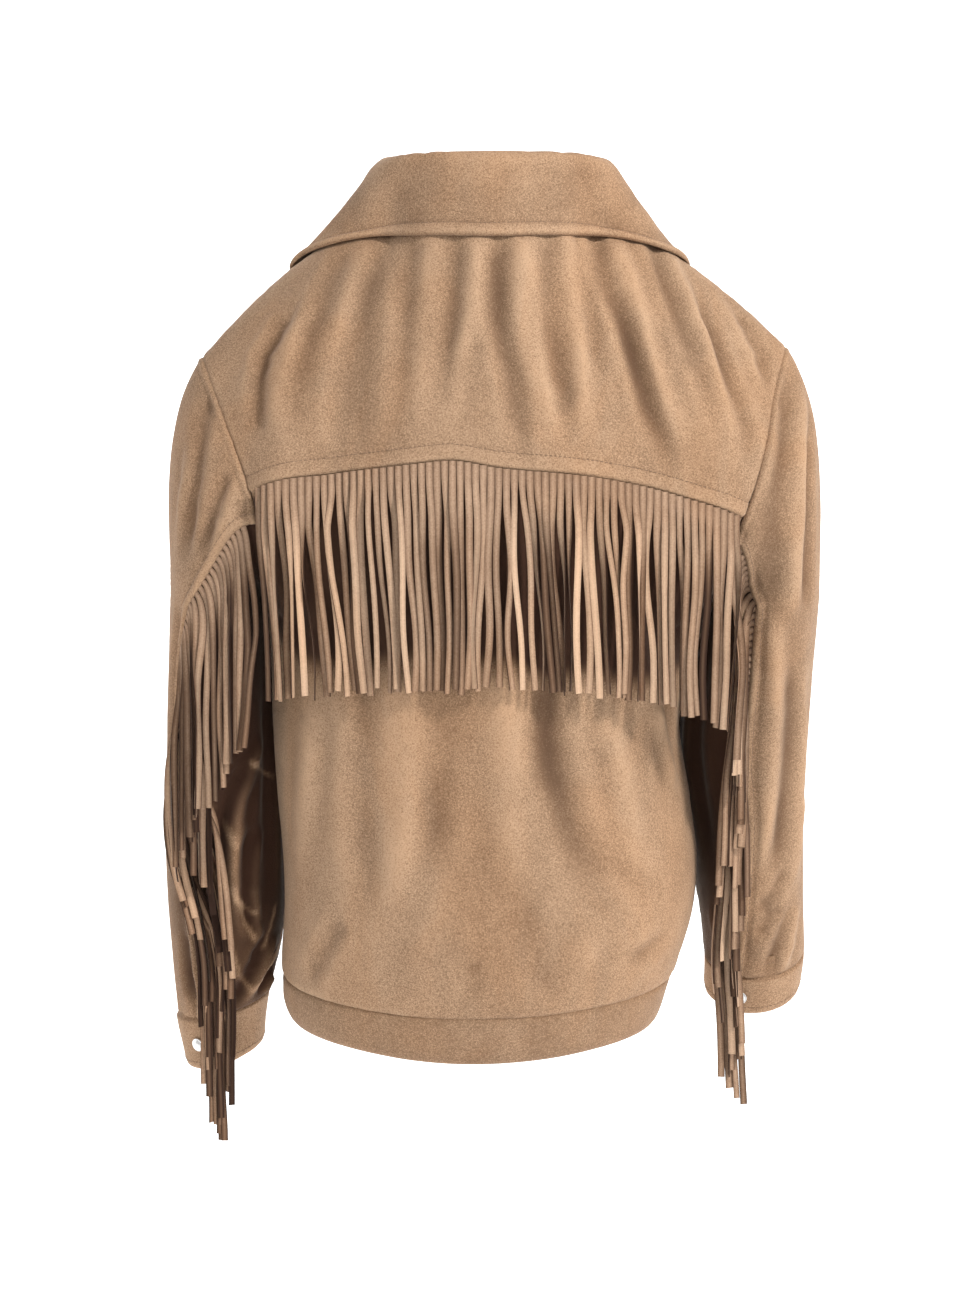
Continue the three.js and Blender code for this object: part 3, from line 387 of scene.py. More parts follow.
# ------------------------------------------------------------------ folds, placed one by one
# Each fold: depth (minus a trough, plus a ridge), half width, and the picture points it runs through.
BACK_FOLDS = [
    # yoke: drag lines that run down from the collar
    (-3.6, 9, [(499, 226), (499, 326), (509, 373), (518, 430), (522, 464)]),
    (-2.6, 8, [(549, 226), (553, 330), (563, 391), (569, 429), (576, 465)]),
    (-3.7, 8, [(594, 226), (606, 285), (627, 335), (649, 410), (667, 466), (670, 486)]),
    (-2.6, 9, [(648, 232), (682, 326), (705, 391), (716, 440)]),
    (-3.2, 9, [(694, 290), (720, 352), (742, 412), (752, 470)]),
    (-1.8, 8, [(575, 226), (590, 330), (603, 400)]),
    (-1.5, 8, [(457, 226), (449, 330), (446, 400), (448, 452)]),
    (-1.3, 9, [(410, 226), (404, 330), (398, 400), (400, 452)]),
    (-1.5, 12, [(378, 226), (366, 320), (357, 390), (358, 450)]),
    (-3.4, 9, [(290, 310), (266, 350), (256, 394), (258, 440)]),
    (-1.5, 9, [(346, 240), (310, 325), (296, 390), (292, 440)]),
    (2.2, 9, [(476, 226), (468, 320), (450, 380), (446, 450)]),
    (2.4, 10, [(523, 226), (528, 330), (541, 391), (556, 440)]),
    (1.9, 8, [(570, 226), (580, 320), (584, 380), (590, 430)]),
    (2.6, 9, [(612, 226), (646, 330), (664, 392), (688, 460)]),
    (1.9, 8, [(662, 236), (704, 330), (728, 392)]),
    (1.8, 9, [(372, 236), (331, 349), (322, 429), (322, 464)]),
    (1.5, 9, [(318, 290), (288, 350), (276, 412), (278, 450)]),
    (1.3, 10, [(434, 226), (424, 340), (420, 420)]),
    (1.8, 8, [(716, 296), (744, 346), (764, 404)]),
    (-1.4, 7, [(738, 312), (758, 350), (768, 390)]),
    # lower back
    (-2.8, 13, [(362, 600), (362, 698), (360, 780), (362, 866), (366, 930)]),
    (-3.7, 15, [(556, 560), (552, 660), (548, 755), (560, 800), (569, 830), (584, 866), (602, 902), (616, 935)]),
    (-2.4, 10, [(342, 918), (324, 950), (305, 984)]),
    (-1.2, 14, [(520, 900), (540, 960), (563, 1000)]),
    (-2.2, 9, [(628, 962), (652, 948), (668, 930)]),
    (-1.7, 12, [(596, 846), (628, 876), (664, 900)]),
    (-1.6, 14, [(448, 700), (440, 790), (432, 880)]),
    (-1.0, 14, [(408, 890), (398, 960), (392, 1005)]),
    (-1.5, 10, [(470, 960), (476, 1000)]),
    (3.0, 16, [(500, 600), (502, 710), (509, 815), (520, 900)]),
    (2.2, 14, [(405, 640), (404, 740), (400, 850), (388, 930)]),
    (2.2, 12, [(312, 690), (304, 790), (302, 880)]),
    (2.4, 12, [(600, 700), (616, 745), (628, 800), (640, 860)]),
    (2.2, 10, [(657, 700), (666, 745), (676, 800)]),
    (1.6, 12, [(594, 930), (575, 975)]),
    (-3.2, 9, [(640, 560), (655, 640), (668, 715), (672, 760)]),
    (-2.0, 9, [(300, 560), (296, 640), (292, 700)]),
]
# Left sleeve, picture points on its visible side.
LEFT_FOLDS = [
    (-3.0, 9, [(216, 380), (198, 440), (190, 510), (184, 570)]),
    (-2.2, 7, [(228, 470), (212, 520), (200, 560)]),
    (2.2, 8, [(206, 400), (190, 470), (178, 540)]),
    (2.4, 8, [(236, 480), (222, 530), (206, 572)]),
    (-2.2, 9, [(180, 600), (174, 700), (172, 780)]),
    (-3.4, 8, [(250, 760), (226, 800), (214, 860), (220, 900)]),
    (2.6, 7, [(262, 740), (240, 800), (236, 870), (244, 920), (258, 944)]),
    (-3.0, 7, [(258, 820), (244, 870), (250, 920), (262, 936)]),
    (2.0, 5, [(250, 880), (258, 930), (264, 950)]),
    (-2.6, 6, [(268, 930), (254, 962), (240, 990), (228, 1010)]),
    (2.2, 5, [(276, 940), (262, 970), (248, 996)]),
    (-2.2, 5, [(276, 962), (264, 984), (254, 1002)]),
    (1.6, 4, [(272, 975), (262, 996)]),
    (-2.4, 8, [(200, 900), (206, 950), (212, 1000)]),
    (-2.0, 8, [(186, 930), (192, 985), (200, 1022)]),
    (2.0, 8, [(192, 900), (198, 960), (205, 1010)]),
    (-1.8, 9, [(188, 780), (190, 850), (184, 920)]),
]
RIGHT_FOLDS = [
    (-1.5, 11, [(789, 372), (783, 420), (776, 480), (768, 540), (760, 610)]),
    (2.6, 10, [(800, 385), (800, 460), (796, 540), (788, 640)]),
    (-2.2, 9, [(808, 430), (810, 520), (806, 620)]),
    (2.4, 8, [(772, 398), (768, 450), (757, 505)]),
    (2.8, 10, [(770, 600), (774, 700), (766, 800), (762, 900)]),
    (-2.1, 10, [(792, 660), (790, 760), (776, 850), (760, 900)]),
    (2.0, 10, [(802, 700), (800, 800), (792, 900)]),
    (-2.0, 7, [(786, 870), (770, 900), (756, 918)]),
    (-1.8, 6, [(780, 905), (766, 925), (757, 940)]),
    (-1.8, 8, [(790, 910), (776, 950), (766, 985)]),
    (1.6, 7, [(797, 905), (788, 945), (780, 975)]),
    (-2.0, 6, [(716, 905), (722, 940), (726, 968)]),
    (1.6, 6, [(722, 880), (732, 930), (740, 970)]),
]
# Lines of painted highlight on the inner left sleeve, where its cloth is paler and slightly raised.
LEFT_SHINE = [
    (1.0, 3, [(248, 760), (260, 768), (274, 779)]),
    (0.7, 4, [(214, 800), (224, 824), (238, 851)]),
    (1.0, 2.6, [(231, 882), (240, 905), (249, 930), (260, 946)]),
    (0.8, 2.2, [(240, 897), (248, 909), (256, 915)]),
    (1.3, 3.4, [(286, 909), (281, 940), (266, 974), (244, 1002)]),
    (1.1, 3.0, [(284, 932), (274, 961), (257, 984), (242, 994)]),
    (0.8, 2.4, [(276, 900), (270, 930), (262, 956)]),
    (0.7, 2.4, [(232, 950), (240, 976), (252, 990)]),
]
# Folds of the hidden sides, in surface coordinates. Fronts (s, t); sleeves (w, v).
FRONT_FOLDS = [
    (-3.4, 13, [(0.62, 1.62), (0.55, 1.3), (0.42, 1.0), (0.36, 0.7)]),
    (2.4, 12, [(0.5, 1.55), (0.44, 1.25), (0.34, 0.95)]),
    (-2.6, 12, [(0.78, 1.3), (0.72, 1.05), (0.7, 0.7), (0.66, 0.3)]),
    (2.2, 12, [(0.6, 0.9), (0.57, 0.55), (0.55, 0.2)]),
    (-3.2, 13, [(-0.66, 1.6), (-0.57, 1.28), (-0.46, 1.0), (-0.42, 0.66)]),
    (2.2, 12, [(-0.5, 1.5), (-0.45, 1.2), (-0.36, 0.9)]),
    (-2.8, 12, [(-0.8, 1.25), (-0.74, 1.0), (-0.7, 0.6), (-0.68, 0.25)]),
    (2.0, 12, [(-0.6, 0.85), (-0.56, 0.5), (-0.56, 0.15)]),
    (-2.2, 10, [(0.4, 0.5), (0.37, 0.25), (0.38, 0.06)]),
    (-2.0, 10, [(-0.3, 0.55), (-0.28, 0.25), (-0.3, 0.05)]),
    (-1.8, 10, [(0.24, 1.1), (0.22, 0.8), (0.24, 0.4)]),
    (-1.8, 10, [(0.9, 0.9), (0.86, 0.5), (0.88, 0.15)]),
    (-1.8, 10, [(-0.9, 0.85), (-0.88, 0.5), (-0.86, 0.1)]),
]
SLEEVE_HIDDEN = [
    (-3.0, 10, [(0.62, 0.4), (0.6, 0.9), (0.59, 1.4)]),
    (2.4, 9, [(0.56, 0.5), (0.545, 1.0), (0.54, 1.5)]),
    (-2.8, 9, [(0.74, 0.6), (0.71, 1.1), (0.69, 1.6)]),
    (2.2, 9, [(0.68, 0.6), (0.65, 1.1), (0.63, 1.7)]),
    (-2.6, 8, [(0.84, 1.25), (0.78, 1.45), (0.7, 1.56)]),
    (-2.4, 8, [(0.92, 1.35), (0.84, 1.58), (0.76, 1.7)]),
    (2.0, 8, [(0.9, 1.2), (0.83, 1.4), (0.76, 1.5)]),
    (-2.0, 7, [(0.56, 1.76), (0.57, 1.9), (0.56, 1.98)]),
    (-2.2, 7, [(0.66, 1.78), (0.65, 1.9), (0.66, 1.98)]),
    (-2.0, 7, [(0.79, 1.8), (0.8, 1.92), (0.79, 1.99)]),
    (-2.2, 7, [(0.9, 1.76), (0.91, 1.9), (0.9, 1.98)]),
    (-2.2, 8, [(0.06, 1.2), (0.1, 1.5), (0.12, 1.8)]),
    (1.8, 8, [(0.02, 1.1), (0.05, 1.5), (0.06, 1.8)]),
]


def smooth_line(pts, n=14):
    """A curve through a few points."""
    pts = np.asarray(pts, float)
    k = np.concatenate([[0], np.cumsum(np.linalg.norm(np.diff(pts, axis=0), axis=1))])
    cols = "k " + " ".join(f"c{i}" for i in range(pts.shape[1]))
    tab = Table(cols, np.column_stack([k, pts]))
    q = np.linspace(0, k[-1], n)
    return np.stack([tab.at(c, q) for c in tab.cols[1:]], -1)


class Seen:
    """Finds the surface point that shows at a picture point."""

    def __init__(self, p, n):
        p, n = p.reshape(-1, 3), n.reshape(-1, 3)
        keep = ((CAM - p) * n).sum(-1) > 0
        self.p, self.q = p[keep], to_picture(p[keep])

    def __call__(self, pts):
        return np.array([self.p[np.argmin(((self.q - q) ** 2).sum(1))] for q in np.asarray(pts, float)])


def fold_lines(folds, find, deeper=1.35, narrower=0.82):
    return [(depth * deeper, width * narrower, find(smooth_line(pts))) for depth, width, pts in folds]


def fold_field(p, lines):
    """Height of all folds at points p."""
    out = np.zeros(p.shape[:-1])
    for depth, width, line in lines:
        reach = 3.2 * width
        lo, hi = line.min(0) - reach, line.max(0) + reach
        m = ((p > lo) & (p < hi)).all(-1)
        if not m.any():
            continue
        q = p[m]
        seg = np.linalg.norm(np.diff(line, axis=0), axis=1)
        cum = np.concatenate([[0], np.cumsum(seg)])
        best, where = np.full(len(q), 1e9), np.zeros(len(q))
        for k in range(len(seg)):
            a, b = line[k], line[k + 1]
            d = b - a
            f = np.clip(((q - a) @ d) / max(seg[k] ** 2, 1e-9), 0, 1)
            dist = np.linalg.norm(q - (a + f[:, None] * d), axis=1)
            near = dist < best
            best = np.where(near, dist, best)
            where = np.where(near, (cum[k] + f * seg[k]) / cum[-1], where)
        r = best / width
        taper = smooth(-0.04, 0.16, where) * (1 - smooth(0.72, 1.02, where))
        taper = taper * (1 + 0.22 * np.sin(9.5 * where + 2.3 * width))
        profile = np.exp(-r * r) - 0.28 * np.exp(-((r - 1.9) / 0.75) ** 2)
        out[m] += depth * taper * profile
    return out


def cloth_noise(p, seed=0):
    """Unevenness of worn cloth, longer down the body than across."""
    return (0.55 * noise(p, (46, 46, 130), seed) + 0.24 * noise(p, (19, 19, 44), seed + 1)
            + 0.10 * noise(p, (8, 8, 11), seed + 2))


def arc(p, axis, reverse=False):
    """Length along the grid from one border."""
    seg = np.linalg.norm(np.diff(p, axis=axis), axis=-1)
    if reverse:
        seg = np.flip(seg, axis)
    c = np.cumsum(seg, axis=axis)
    z = np.zeros_like(np.take(c, [0], axis=axis))
    c = np.concatenate([z, c], axis=axis)
    return np.flip(c, axis) if reverse else c


def seam_shape(d, run, puff, width, seed, groove=1.1, pucker=0.35):
    """Height near a seam: d from the seam, run along it. A dip at the seam, then a soft puffed edge, then a stitched line."""
    h = -groove * np.exp(-(d / 1.5) ** 2)
    if puff:
        u = np.clip(d / width, 0, 1)
        wob = 1 + 0.35 * noise1(run / 11, seed)
        h = h + puff * wob * np.sin(math.pi * u) ** 0.8 * (d < width)
        h = h - 0.45 * np.exp(-((d - width) / 1.1) ** 2)
    h = h + pucker * noise1(run / 5.5, seed + 1) * np.exp(-(d / 9) ** 2) * smooth(0, 2, d)
    return h


# ------------------------------------------------------------------ meshes
def make_mesh(name, verts, quads, material, attrs=None, tris=None):
    """A mesh object from points in mm."""
    me = bpy.data.meshes.new(name)
    verts = np.asarray(verts, float) / 1000
    quads = np.asarray(quads, int).reshape(-1, 4)
    tris = np.zeros((0, 3), int) if tris is None else np.asarray(tris, int).reshape(-1, 3)
    me.vertices.add(len(verts))
    me.vertices.foreach_set("co", verts.astype(np.float32).ravel())
    me.loops.add(quads.size + tris.size)
    me.loops.foreach_set("vertex_index", np.concatenate([quads.ravel(), tris.ravel()]).astype(np.int32))
    me.polygons.add(len(quads) + len(tris))
    me.polygons.foreach_set("loop_start", np.concatenate(
        [np.arange(len(quads)) * 4, quads.size + np.arange(len(tris)) * 3]).astype(np.int32))
    me.polygons.foreach_set("use_smooth", np.ones(len(quads) + len(tris), bool))
    me.update(calc_edges=True)
    me.validate()
    for key, val in (attrs or {}).items():
        a = me.attributes.new(key, "FLOAT", "POINT")
        a.data.foreach_set("value", np.asarray(val, np.float32).ravel())
    me.materials.append(material)
    ob = bpy.data.objects.new(name, me)
    bpy.context.scene.collection.objects.link(ob)
    return ob


def shell_parts(p, n, thick, rim=0.5):
    """Closed wall under a grid of outer points: vertices, quads and, for each vertex, its grid index."""
    ni, nj = p.shape[:2]
    q = p - n * (thick if np.ndim(thick) == 0 else thick[..., None])
    outer = np.arange(ni * nj).reshape(ni, nj)
    inner = outer + ni * nj
    flip = ((np.cross(np.gradient(p, axis=0), np.gradient(p, axis=1)) * n).sum(-1)).mean() < 0
    quads = []

    def patch(g, rev):
        f = np.stack([g[:-1, :-1], g[1:, :-1], g[1:, 1:], g[:-1, 1:]], -1).reshape(-1, 4)
        quads.append(f[:, ::-1] if rev else f)

    patch(outer, flip)
    patch(inner, not flip)
    loop = ([(i, 0) for i in range(ni)] + [(ni - 1, j) for j in range(1, nj)]
            + [(i, nj - 1) for i in range(ni - 2, -1, -1)] + [(0, j) for j in range(nj - 2, 0, -1)])
    li, lj = np.array(loop).T
    ii, jj = np.clip(li, 1, ni - 2), np.clip(lj, 1, nj - 2)
    out = unit(p[li, lj] - p[ii, jj])
    mid = (p[li, lj] + q[li, lj]) / 2 + out * rim * np.linalg.norm(p[li, lj] - q[li, lj], axis=-1, keepdims=True)
    base = 2 * ni * nj
    m = base + np.arange(len(loop))
    a, b = outer[li, lj], inner[li, lj]
    for lo, hi in ((a, m), (m, b)):
        f = np.stack([lo, hi, np.roll(hi, -1), np.roll(lo, -1)], -1)
        quads.append(f[:, ::-1] if flip else f)
    verts = np.concatenate([p.reshape(-1, 3), q.reshape(-1, 3), mid])
    idx = np.concatenate([np.arange(ni * nj), np.arange(ni * nj), a])
    return verts, np.concatenate(quads), idx


def shell(name, p, n, thick, material, nap_and_shade, rim=0.5):
    verts, quads, idx = shell_parts(p, n, thick, rim)
    return make_mesh(name, verts, quads, material, {"nap_and_shade": nap_and_shade.ravel()[idx]})


def curve_at(p, n, axis, reverse, dist):
    """Line on a grid that runs at a given distance from a border, with the normals there."""
    d = arc(p, axis, reverse)
    if axis == 0:
        p, n, d = p.swapaxes(0, 1), n.swapaxes(0, 1), d.T
    if reverse:
        p, n, d = p[:, ::-1], n[:, ::-1], d[:, ::-1]
    pts, nrm = [], []
    for k in range(len(p)):
        f = np.interp(dist, d[k], np.arange(d.shape[1]))
        j = min(int(f), d.shape[1] - 2)
        pts.append(mix(p[k, j], p[k, j + 1], f - j))
        nrm.append(mix(n[k, j], n[k, j + 1], f - j))
    return np.array(pts), unit(np.array(nrm))


STITCHES = {}


def stitch(owner, pts, nrm, lift=0.12, trim=1.0):
    """Adds a run of stitches along a line to the named piece's sewing."""
    seg = np.linalg.norm(np.diff(pts, axis=0), axis=1)
    cum = np.concatenate([[0], np.cumsum(seg)])
    step = STITCH + STITCH_GAP
    count = int((cum[-1] - 2 * trim) / step)
    rng = np.random.default_rng(len(STITCHES) * 31 + count)
    for k in range(count):
        a = trim + k * step + rng.uniform(-0.12, 0.12)
        q = a + np.linspace(0, 1, 5) * STITCH
        line = np.stack([np.interp(q, cum, pts[:, c]) for c in range(3)], -1)
        up = np.stack([np.interp(q, cum, nrm[:, c]) for c in range(3)], -1)
        STITCHES.setdefault(owner, []).append(
            line + up * (lift + np.array([-0.4, 0.05, 0.14, 0.05, -0.4]))[:, None])


def tube_mesh(name, lines, radius, material, sides=5):
    verts, quads, tris = [], [], []
    base = 0
    for line in lines:
        t = unit(np.gradient(line, axis=0))
        ref = np.array([1.0, 0, 0]) if np.abs(t[:, 2]).mean() > 0.75 else np.array([0, 0, 1.0])
        a = unit(np.cross(t, ref))
        b = np.cross(t, a)
        ang = np.arange(sides) / sides * 2 * math.pi
        ringp = line[:, None] + radius * (np.cos(ang)[None, :, None] * a[:, None] + np.sin(ang)[None, :, None] * b[:, None])
        n = len(line)
        g = base + np.arange(n * sides).reshape(n, sides)
        f = np.stack([g[:-1], np.roll(g[:-1], -1, 1), np.roll(g[1:], -1, 1), g[1:]], -1).reshape(-1, 4)
        verts.append(ringp.reshape(-1, 3))
        quads.append(f)
        for k in range(1, sides - 1):
            tris.append([g[0, 0], g[0, k + 1], g[0, k]])
            tris.append([g[-1, 0], g[-1, k], g[-1, k + 1]])
        base += n * sides
    return make_mesh(name, np.concatenate(verts), np.concatenate(quads), material, tris=tris)


# ------------------------------------------------------------------ materials
def material(name):
    m = bpy.data.materials.new(name)
    m.use_nodes = True
    nt = m.node_tree
    return m, nt, nt.nodes["Principled BSDF"]


def link(nt, a, b):
    nt.links.new(a, b)


def math_node(nt, op, a, b=None, c=None):
    n = nt.nodes.new("ShaderNodeMath")
    n.operation = op
    for k, v in enumerate((a, b, c)):
        if v is None:
            continue
        if isinstance(v, (int, float)):
            n.inputs[k].default_value = v
        else:
            link(nt, v, n.inputs[k])
    return n.outputs[0]


def noise_node(nt, vec, scale, detail=3.0, rough=0.55, distort=0.0):
    n = nt.nodes.new("ShaderNodeTexNoise")
    n.inputs["Scale"].default_value = scale
    n.inputs["Detail"].default_value = detail
    n.inputs["Roughness"].default_value = rough
    n.inputs["Distortion"].default_value = distort
    link(nt, vec, n.inputs["Vector"])
    return n.outputs["Fac"]


def stretched(nt, vec, scale):
    n = nt.nodes.new("ShaderNodeMapping")
    n.inputs["Scale"].default_value = scale
    link(nt, vec, n.inputs["Vector"])
    return n.outputs["Vector"]


def mix_colour(nt, fac, a, b):
    n = nt.nodes.new("ShaderNodeMix")
    n.data_type = "RGBA"
    link(nt, fac, n.inputs[0])
    for sock, v in ((n.inputs[6], a), (n.inputs[7], b)):
        if isinstance(v, tuple):
            sock.default_value = (*v, 1)
        else:
            link(nt, v, sock)
    return n.outputs[2]


def remap(nt, v, lo, hi, a=0.0, b=1.0):
    n = nt.nodes.new("ShaderNodeMapRange")
    n.interpolation_type = "SMOOTHSTEP"
    for k, x in zip(("From Min", "From Max", "To Min", "To Max"), (lo, hi, a, b)):
        n.inputs[k].default_value = x
    link(nt, v, n.inputs["Value"])
    return n.outputs["Result"]


def suede(name, painted_shadow_colour, dark, light, grain=1.0, attr="nap_and_shade"):
    """Brushed faux suede: patchy pile, fine speckle, paler where folds stand out (partly a painted highlight) and edges
    rub, and turning to a painted shadow colour where the attribute is very low.
    """
    m, nt, bsdf = material(name)
    co = nt.nodes.new("ShaderNodeTexCoord").outputs["Object"]
    patch = noise_node(nt, co, 22, 4, 0.6, 0.4)
    hue = noise_node(nt, stretched(nt, co, (1, 1, 0.45)), 13, 3, 0.6, 0.8)
    cloud = noise_node(nt, stretched(nt, co, (1, 1, 0.6)), 75, 4, 0.62, 0.6)
    tuft = noise_node(nt, co, 680, 3, 0.65)
    speck = noise_node(nt, co, 1300, 2, 0.7)
    at = nt.nodes.new("ShaderNodeAttribute")
    at.attribute_name = attr
    nap_and_shade = at.outputs["Fac"]
    f = math_node(nt, "MULTIPLY_ADD", math_node(nt, "SUBTRACT", patch, 0.5), 0.34, 0.5)
    f = math_node(nt, "MULTIPLY_ADD", math_node(nt, "SUBTRACT", cloud, 0.5), 0.26, f)
    f = math_node(nt, "MULTIPLY_ADD", math_node(nt, "SUBTRACT", tuft, 0.5), 1.3 * grain, f)
    f = math_node(nt, "MULTIPLY_ADD", math_node(nt, "SUBTRACT", speck, 0.5), 1.9 * grain, f)
    f = math_node(nt, "MULTIPLY_ADD", nap_and_shade, 0.55, f)
    f = remap(nt, f, -0.1, 1.1)
    # painted shade: below -0.35 the colour blends towards the painted shadow colour
    painted_shade_amount = remap(nt, nap_and_shade, -0.35, -1.6)
    warm = mix_colour(nt, f, tuple(c * k for c, k in zip(dark, (1.04, 0.98, 0.92))),
                      tuple(c * k for c, k in zip(light, (1.02, 0.97, 0.92))))
    cool = mix_colour(nt, f, dark, light)
    link(nt, mix_colour(nt, painted_shade_amount, mix_colour(nt, remap(nt, hue, 0.38, 0.66), cool, warm), painted_shadow_colour), bsdf.inputs["Base Color"])
    link(nt, remap(nt, tuft, 0.2, 0.8, 0.98, 0.84), bsdf.inputs["Roughness"])
    bsdf.inputs["Specular IOR Level"].default_value = 0.22
    bsdf.inputs["Sheen Weight"].default_value = 0.16
    bsdf.inputs["Sheen Roughness"].default_value = 0.35
    bsdf.inputs["Sheen Tint"].default_value = (1.0, 0.86, 0.72, 1)
    bump = nt.nodes.new("ShaderNodeBump")
    bump.inputs["Strength"].default_value = 0.7
    bump.inputs["Distance"].default_value = 0.0007
    h = math_node(nt, "MULTIPLY_ADD", speck, 0.55, math_node(nt, "MULTIPLY", tuft, 0.8))
    link(nt, h, bump.inputs["Height"])
    link(nt, bump.outputs["Normal"], bsdf.inputs["Normal"])
    return m


def thread_material():
    m, nt, bsdf = material("thread_tan")
    co = nt.nodes.new("ShaderNodeTexCoord").outputs["Object"]
    v = noise_node(nt, co, 900, 2)
    link(nt, mix_colour(nt, v, (0.12, 0.07, 0.042), (0.27, 0.17, 0.105)), bsdf.inputs["Base Color"])
    bsdf.inputs["Roughness"].default_value = 0.7
    bump = nt.nodes.new("ShaderNodeBump")
    bump.inputs["Distance"].default_value = 0.0002
    link(nt, noise_node(nt, stretched(nt, co, (1, 1, 3)), 2600, 1), bump.inputs["Height"])
    link(nt, bump.outputs["Normal"], bsdf.inputs["Normal"])
    return m


def snap_material():
    m, nt, bsdf = material("snap_metal")
    co = nt.nodes.new("ShaderNodeTexCoord").outputs["Object"]
    v = noise_node(nt, co, 700, 3)
    link(nt, mix_colour(nt, v, (0.62, 0.61, 0.6), (0.8, 0.79, 0.78)), bsdf.inputs["Base Color"])
    bsdf.inputs["Metallic"].default_value = 0.9
    link(nt, remap(nt, noise_node(nt, co, 260, 4), 0.3, 0.7, 0.2, 0.38), bsdf.inputs["Roughness"])
    bump = nt.nodes.new("ShaderNodeBump")
    bump.inputs["Strength"].default_value = 0.15
    bump.inputs["Distance"].default_value = 0.0001
    link(nt, v, bump.inputs["Height"])
    link(nt, bump.outputs["Normal"], bsdf.inputs["Normal"])
    return m


# the first colour of each material is its painted shadow colour
SUEDE = suede("suede_tan", (0.046, 0.020, 0.011), (0.175, 0.104, 0.060), (0.46, 0.303, 0.190))
STRAND = suede("fringe_tan", (0.026, 0.011, 0.006), (0.18, 0.105, 0.064), (0.61, 0.425, 0.292), grain=0.3)
THREAD_MAT = thread_material()
SNAP_MAT = snap_material()

# ------------------------------------------------------------------ where the folds lie
_s, _t = np.meshgrid(np.linspace(-1, 1, 201), np.linspace(-1, 2, 301), indexing="ij")
BACK_LINES = fold_lines(BACK_FOLDS, Seen(body(1, _s, _t), body_normals(1, _s, _t)))
FRONT_LINES = [(d * 1.3, w * 0.85, body(-1, *smooth_line(pts).T)) for d, w, pts in FRONT_FOLDS]
SLEEVE_LINES = {}
for side_, folds_ in (("L", LEFT_FOLDS), ("R", RIGHT_FOLDS)):
    _w, _v = np.meshgrid(np.linspace(0, 1, 181), np.linspace(0, 3, 301), indexing="ij")
    seen_ = Seen(sleeve(side_, _w, _v), sleeve_normals(side_, _w, _v))
    SLEEVE_LINES[side_] = fold_lines(folds_, seen_, 1.5, 0.85) + [
        (d * (1.35 if side_ == "L" else 1.15), w * 0.85, sleeve(side_, *smooth_line(np.array(pts) + (0, 0.02 if side_ == "L" else -0.03)).T))
        for d, w, pts in SLEEVE_HIDDEN]

_w, _v = np.meshgrid(np.linspace(0, 1, 181), np.linspace(0, 3, 301), indexing="ij")
SHINE_LINES = fold_lines(LEFT_SHINE, Seen(sleeve("L", _w, _v), sleeve_normals("L", _w, _v)), 1.0, 1.0)

PIECES = {}


def nap_and_shade_of(h, extra=0):
    """Ridges and rubbed edges are paler, troughs darker: painted shade in the troughs, and on the ridges partly wear,
    partly painted highlight.
    """
    return np.clip(h * 0.13 + extra, -2.0, 0.8)


def relief(p, lines, seed):
    return fold_field(p, lines) + cloth_noise(p, seed)


# ------------------------------------------------------------------ back yoke and lower back
NB = 241
S_BACK = np.linspace(-1, 1, NB)
T_YOKE = yoke_t(S_BACK)
YOKE_STITCH = 12.5            # topstitch above the yoke seam

k = np.linspace(0, 1, 121)
T = T_YOKE[:, None] + (2 - T_YOKE)[:, None] * k
S = np.repeat(S_BACK[:, None], len(k), 1)
P0, N0 = body(1, S, T), body_normals(1, S, T)
d_low, d_top = arc(P0, 1), arc(P0, 1, True)
d_r, d_l = arc(P0, 0), arc(P0, 0, True)
run = arc(P0, 0)
near = np.minimum(np.minimum(d_low, d_top), np.minimum(d_r, d_l))
h = relief(P0, BACK_LINES, 0) * smooth(0, 10, near)
h = h + seam_shape(d_low, run, 0.75, YOKE_STITCH, 3, groove=0.9) + 0.9 * np.exp(-(d_low / 5) ** 2)
arm = np.minimum(d_r, d_l)
h = h + seam_shape(arm, d_low, 0.0, 8, 5, groove=1.0)
h = h + seam_shape(d_top, run, 0.0, 8, 6, groove=0.9)
edge_u = np.linspace(0, 0.5, 60)
under_collar = smooth(-16, 1, P0[..., 2] - np.interp(np.abs(P0[..., 0]), COLLAR_EDGE.at("x", edge_u), COLLAR_EDGE.at("z", edge_u)))
h = np.minimum(h, mix(9.0, 0.8, under_collar))
YOKE_P, YOKE_N = P0 + N0 * h[..., None], N0
# painted shade: the yoke's left half is darker, being the side away from the light; paler again out towards the left
# armhole
nap_and_shade = nap_and_shade_of(h, 0.35 * np.exp(-(d_low / 2.5) ** 2) + 0.12 * np.exp(-(arm / 4) ** 2) + 0.12 * noise(P0, (30, 30, 60), 2)
             - 0.28 * smooth(20, 110, P0[..., 0]) + 0.26 * smooth(95, 165, P0[..., 0]))
PIECES["back_yoke"] = shell("yoke_cloth", YOKE_P, YOKE_N, CLOTH, SUEDE, nap_and_shade)
YOKE_NN = normals(YOKE_P) * np.sign((normals(YOKE_P) * N0).sum(-1).mean())
stitch("back_yoke", *curve_at(YOKE_P, YOKE_NN, 1, False, YOKE_STITCH))

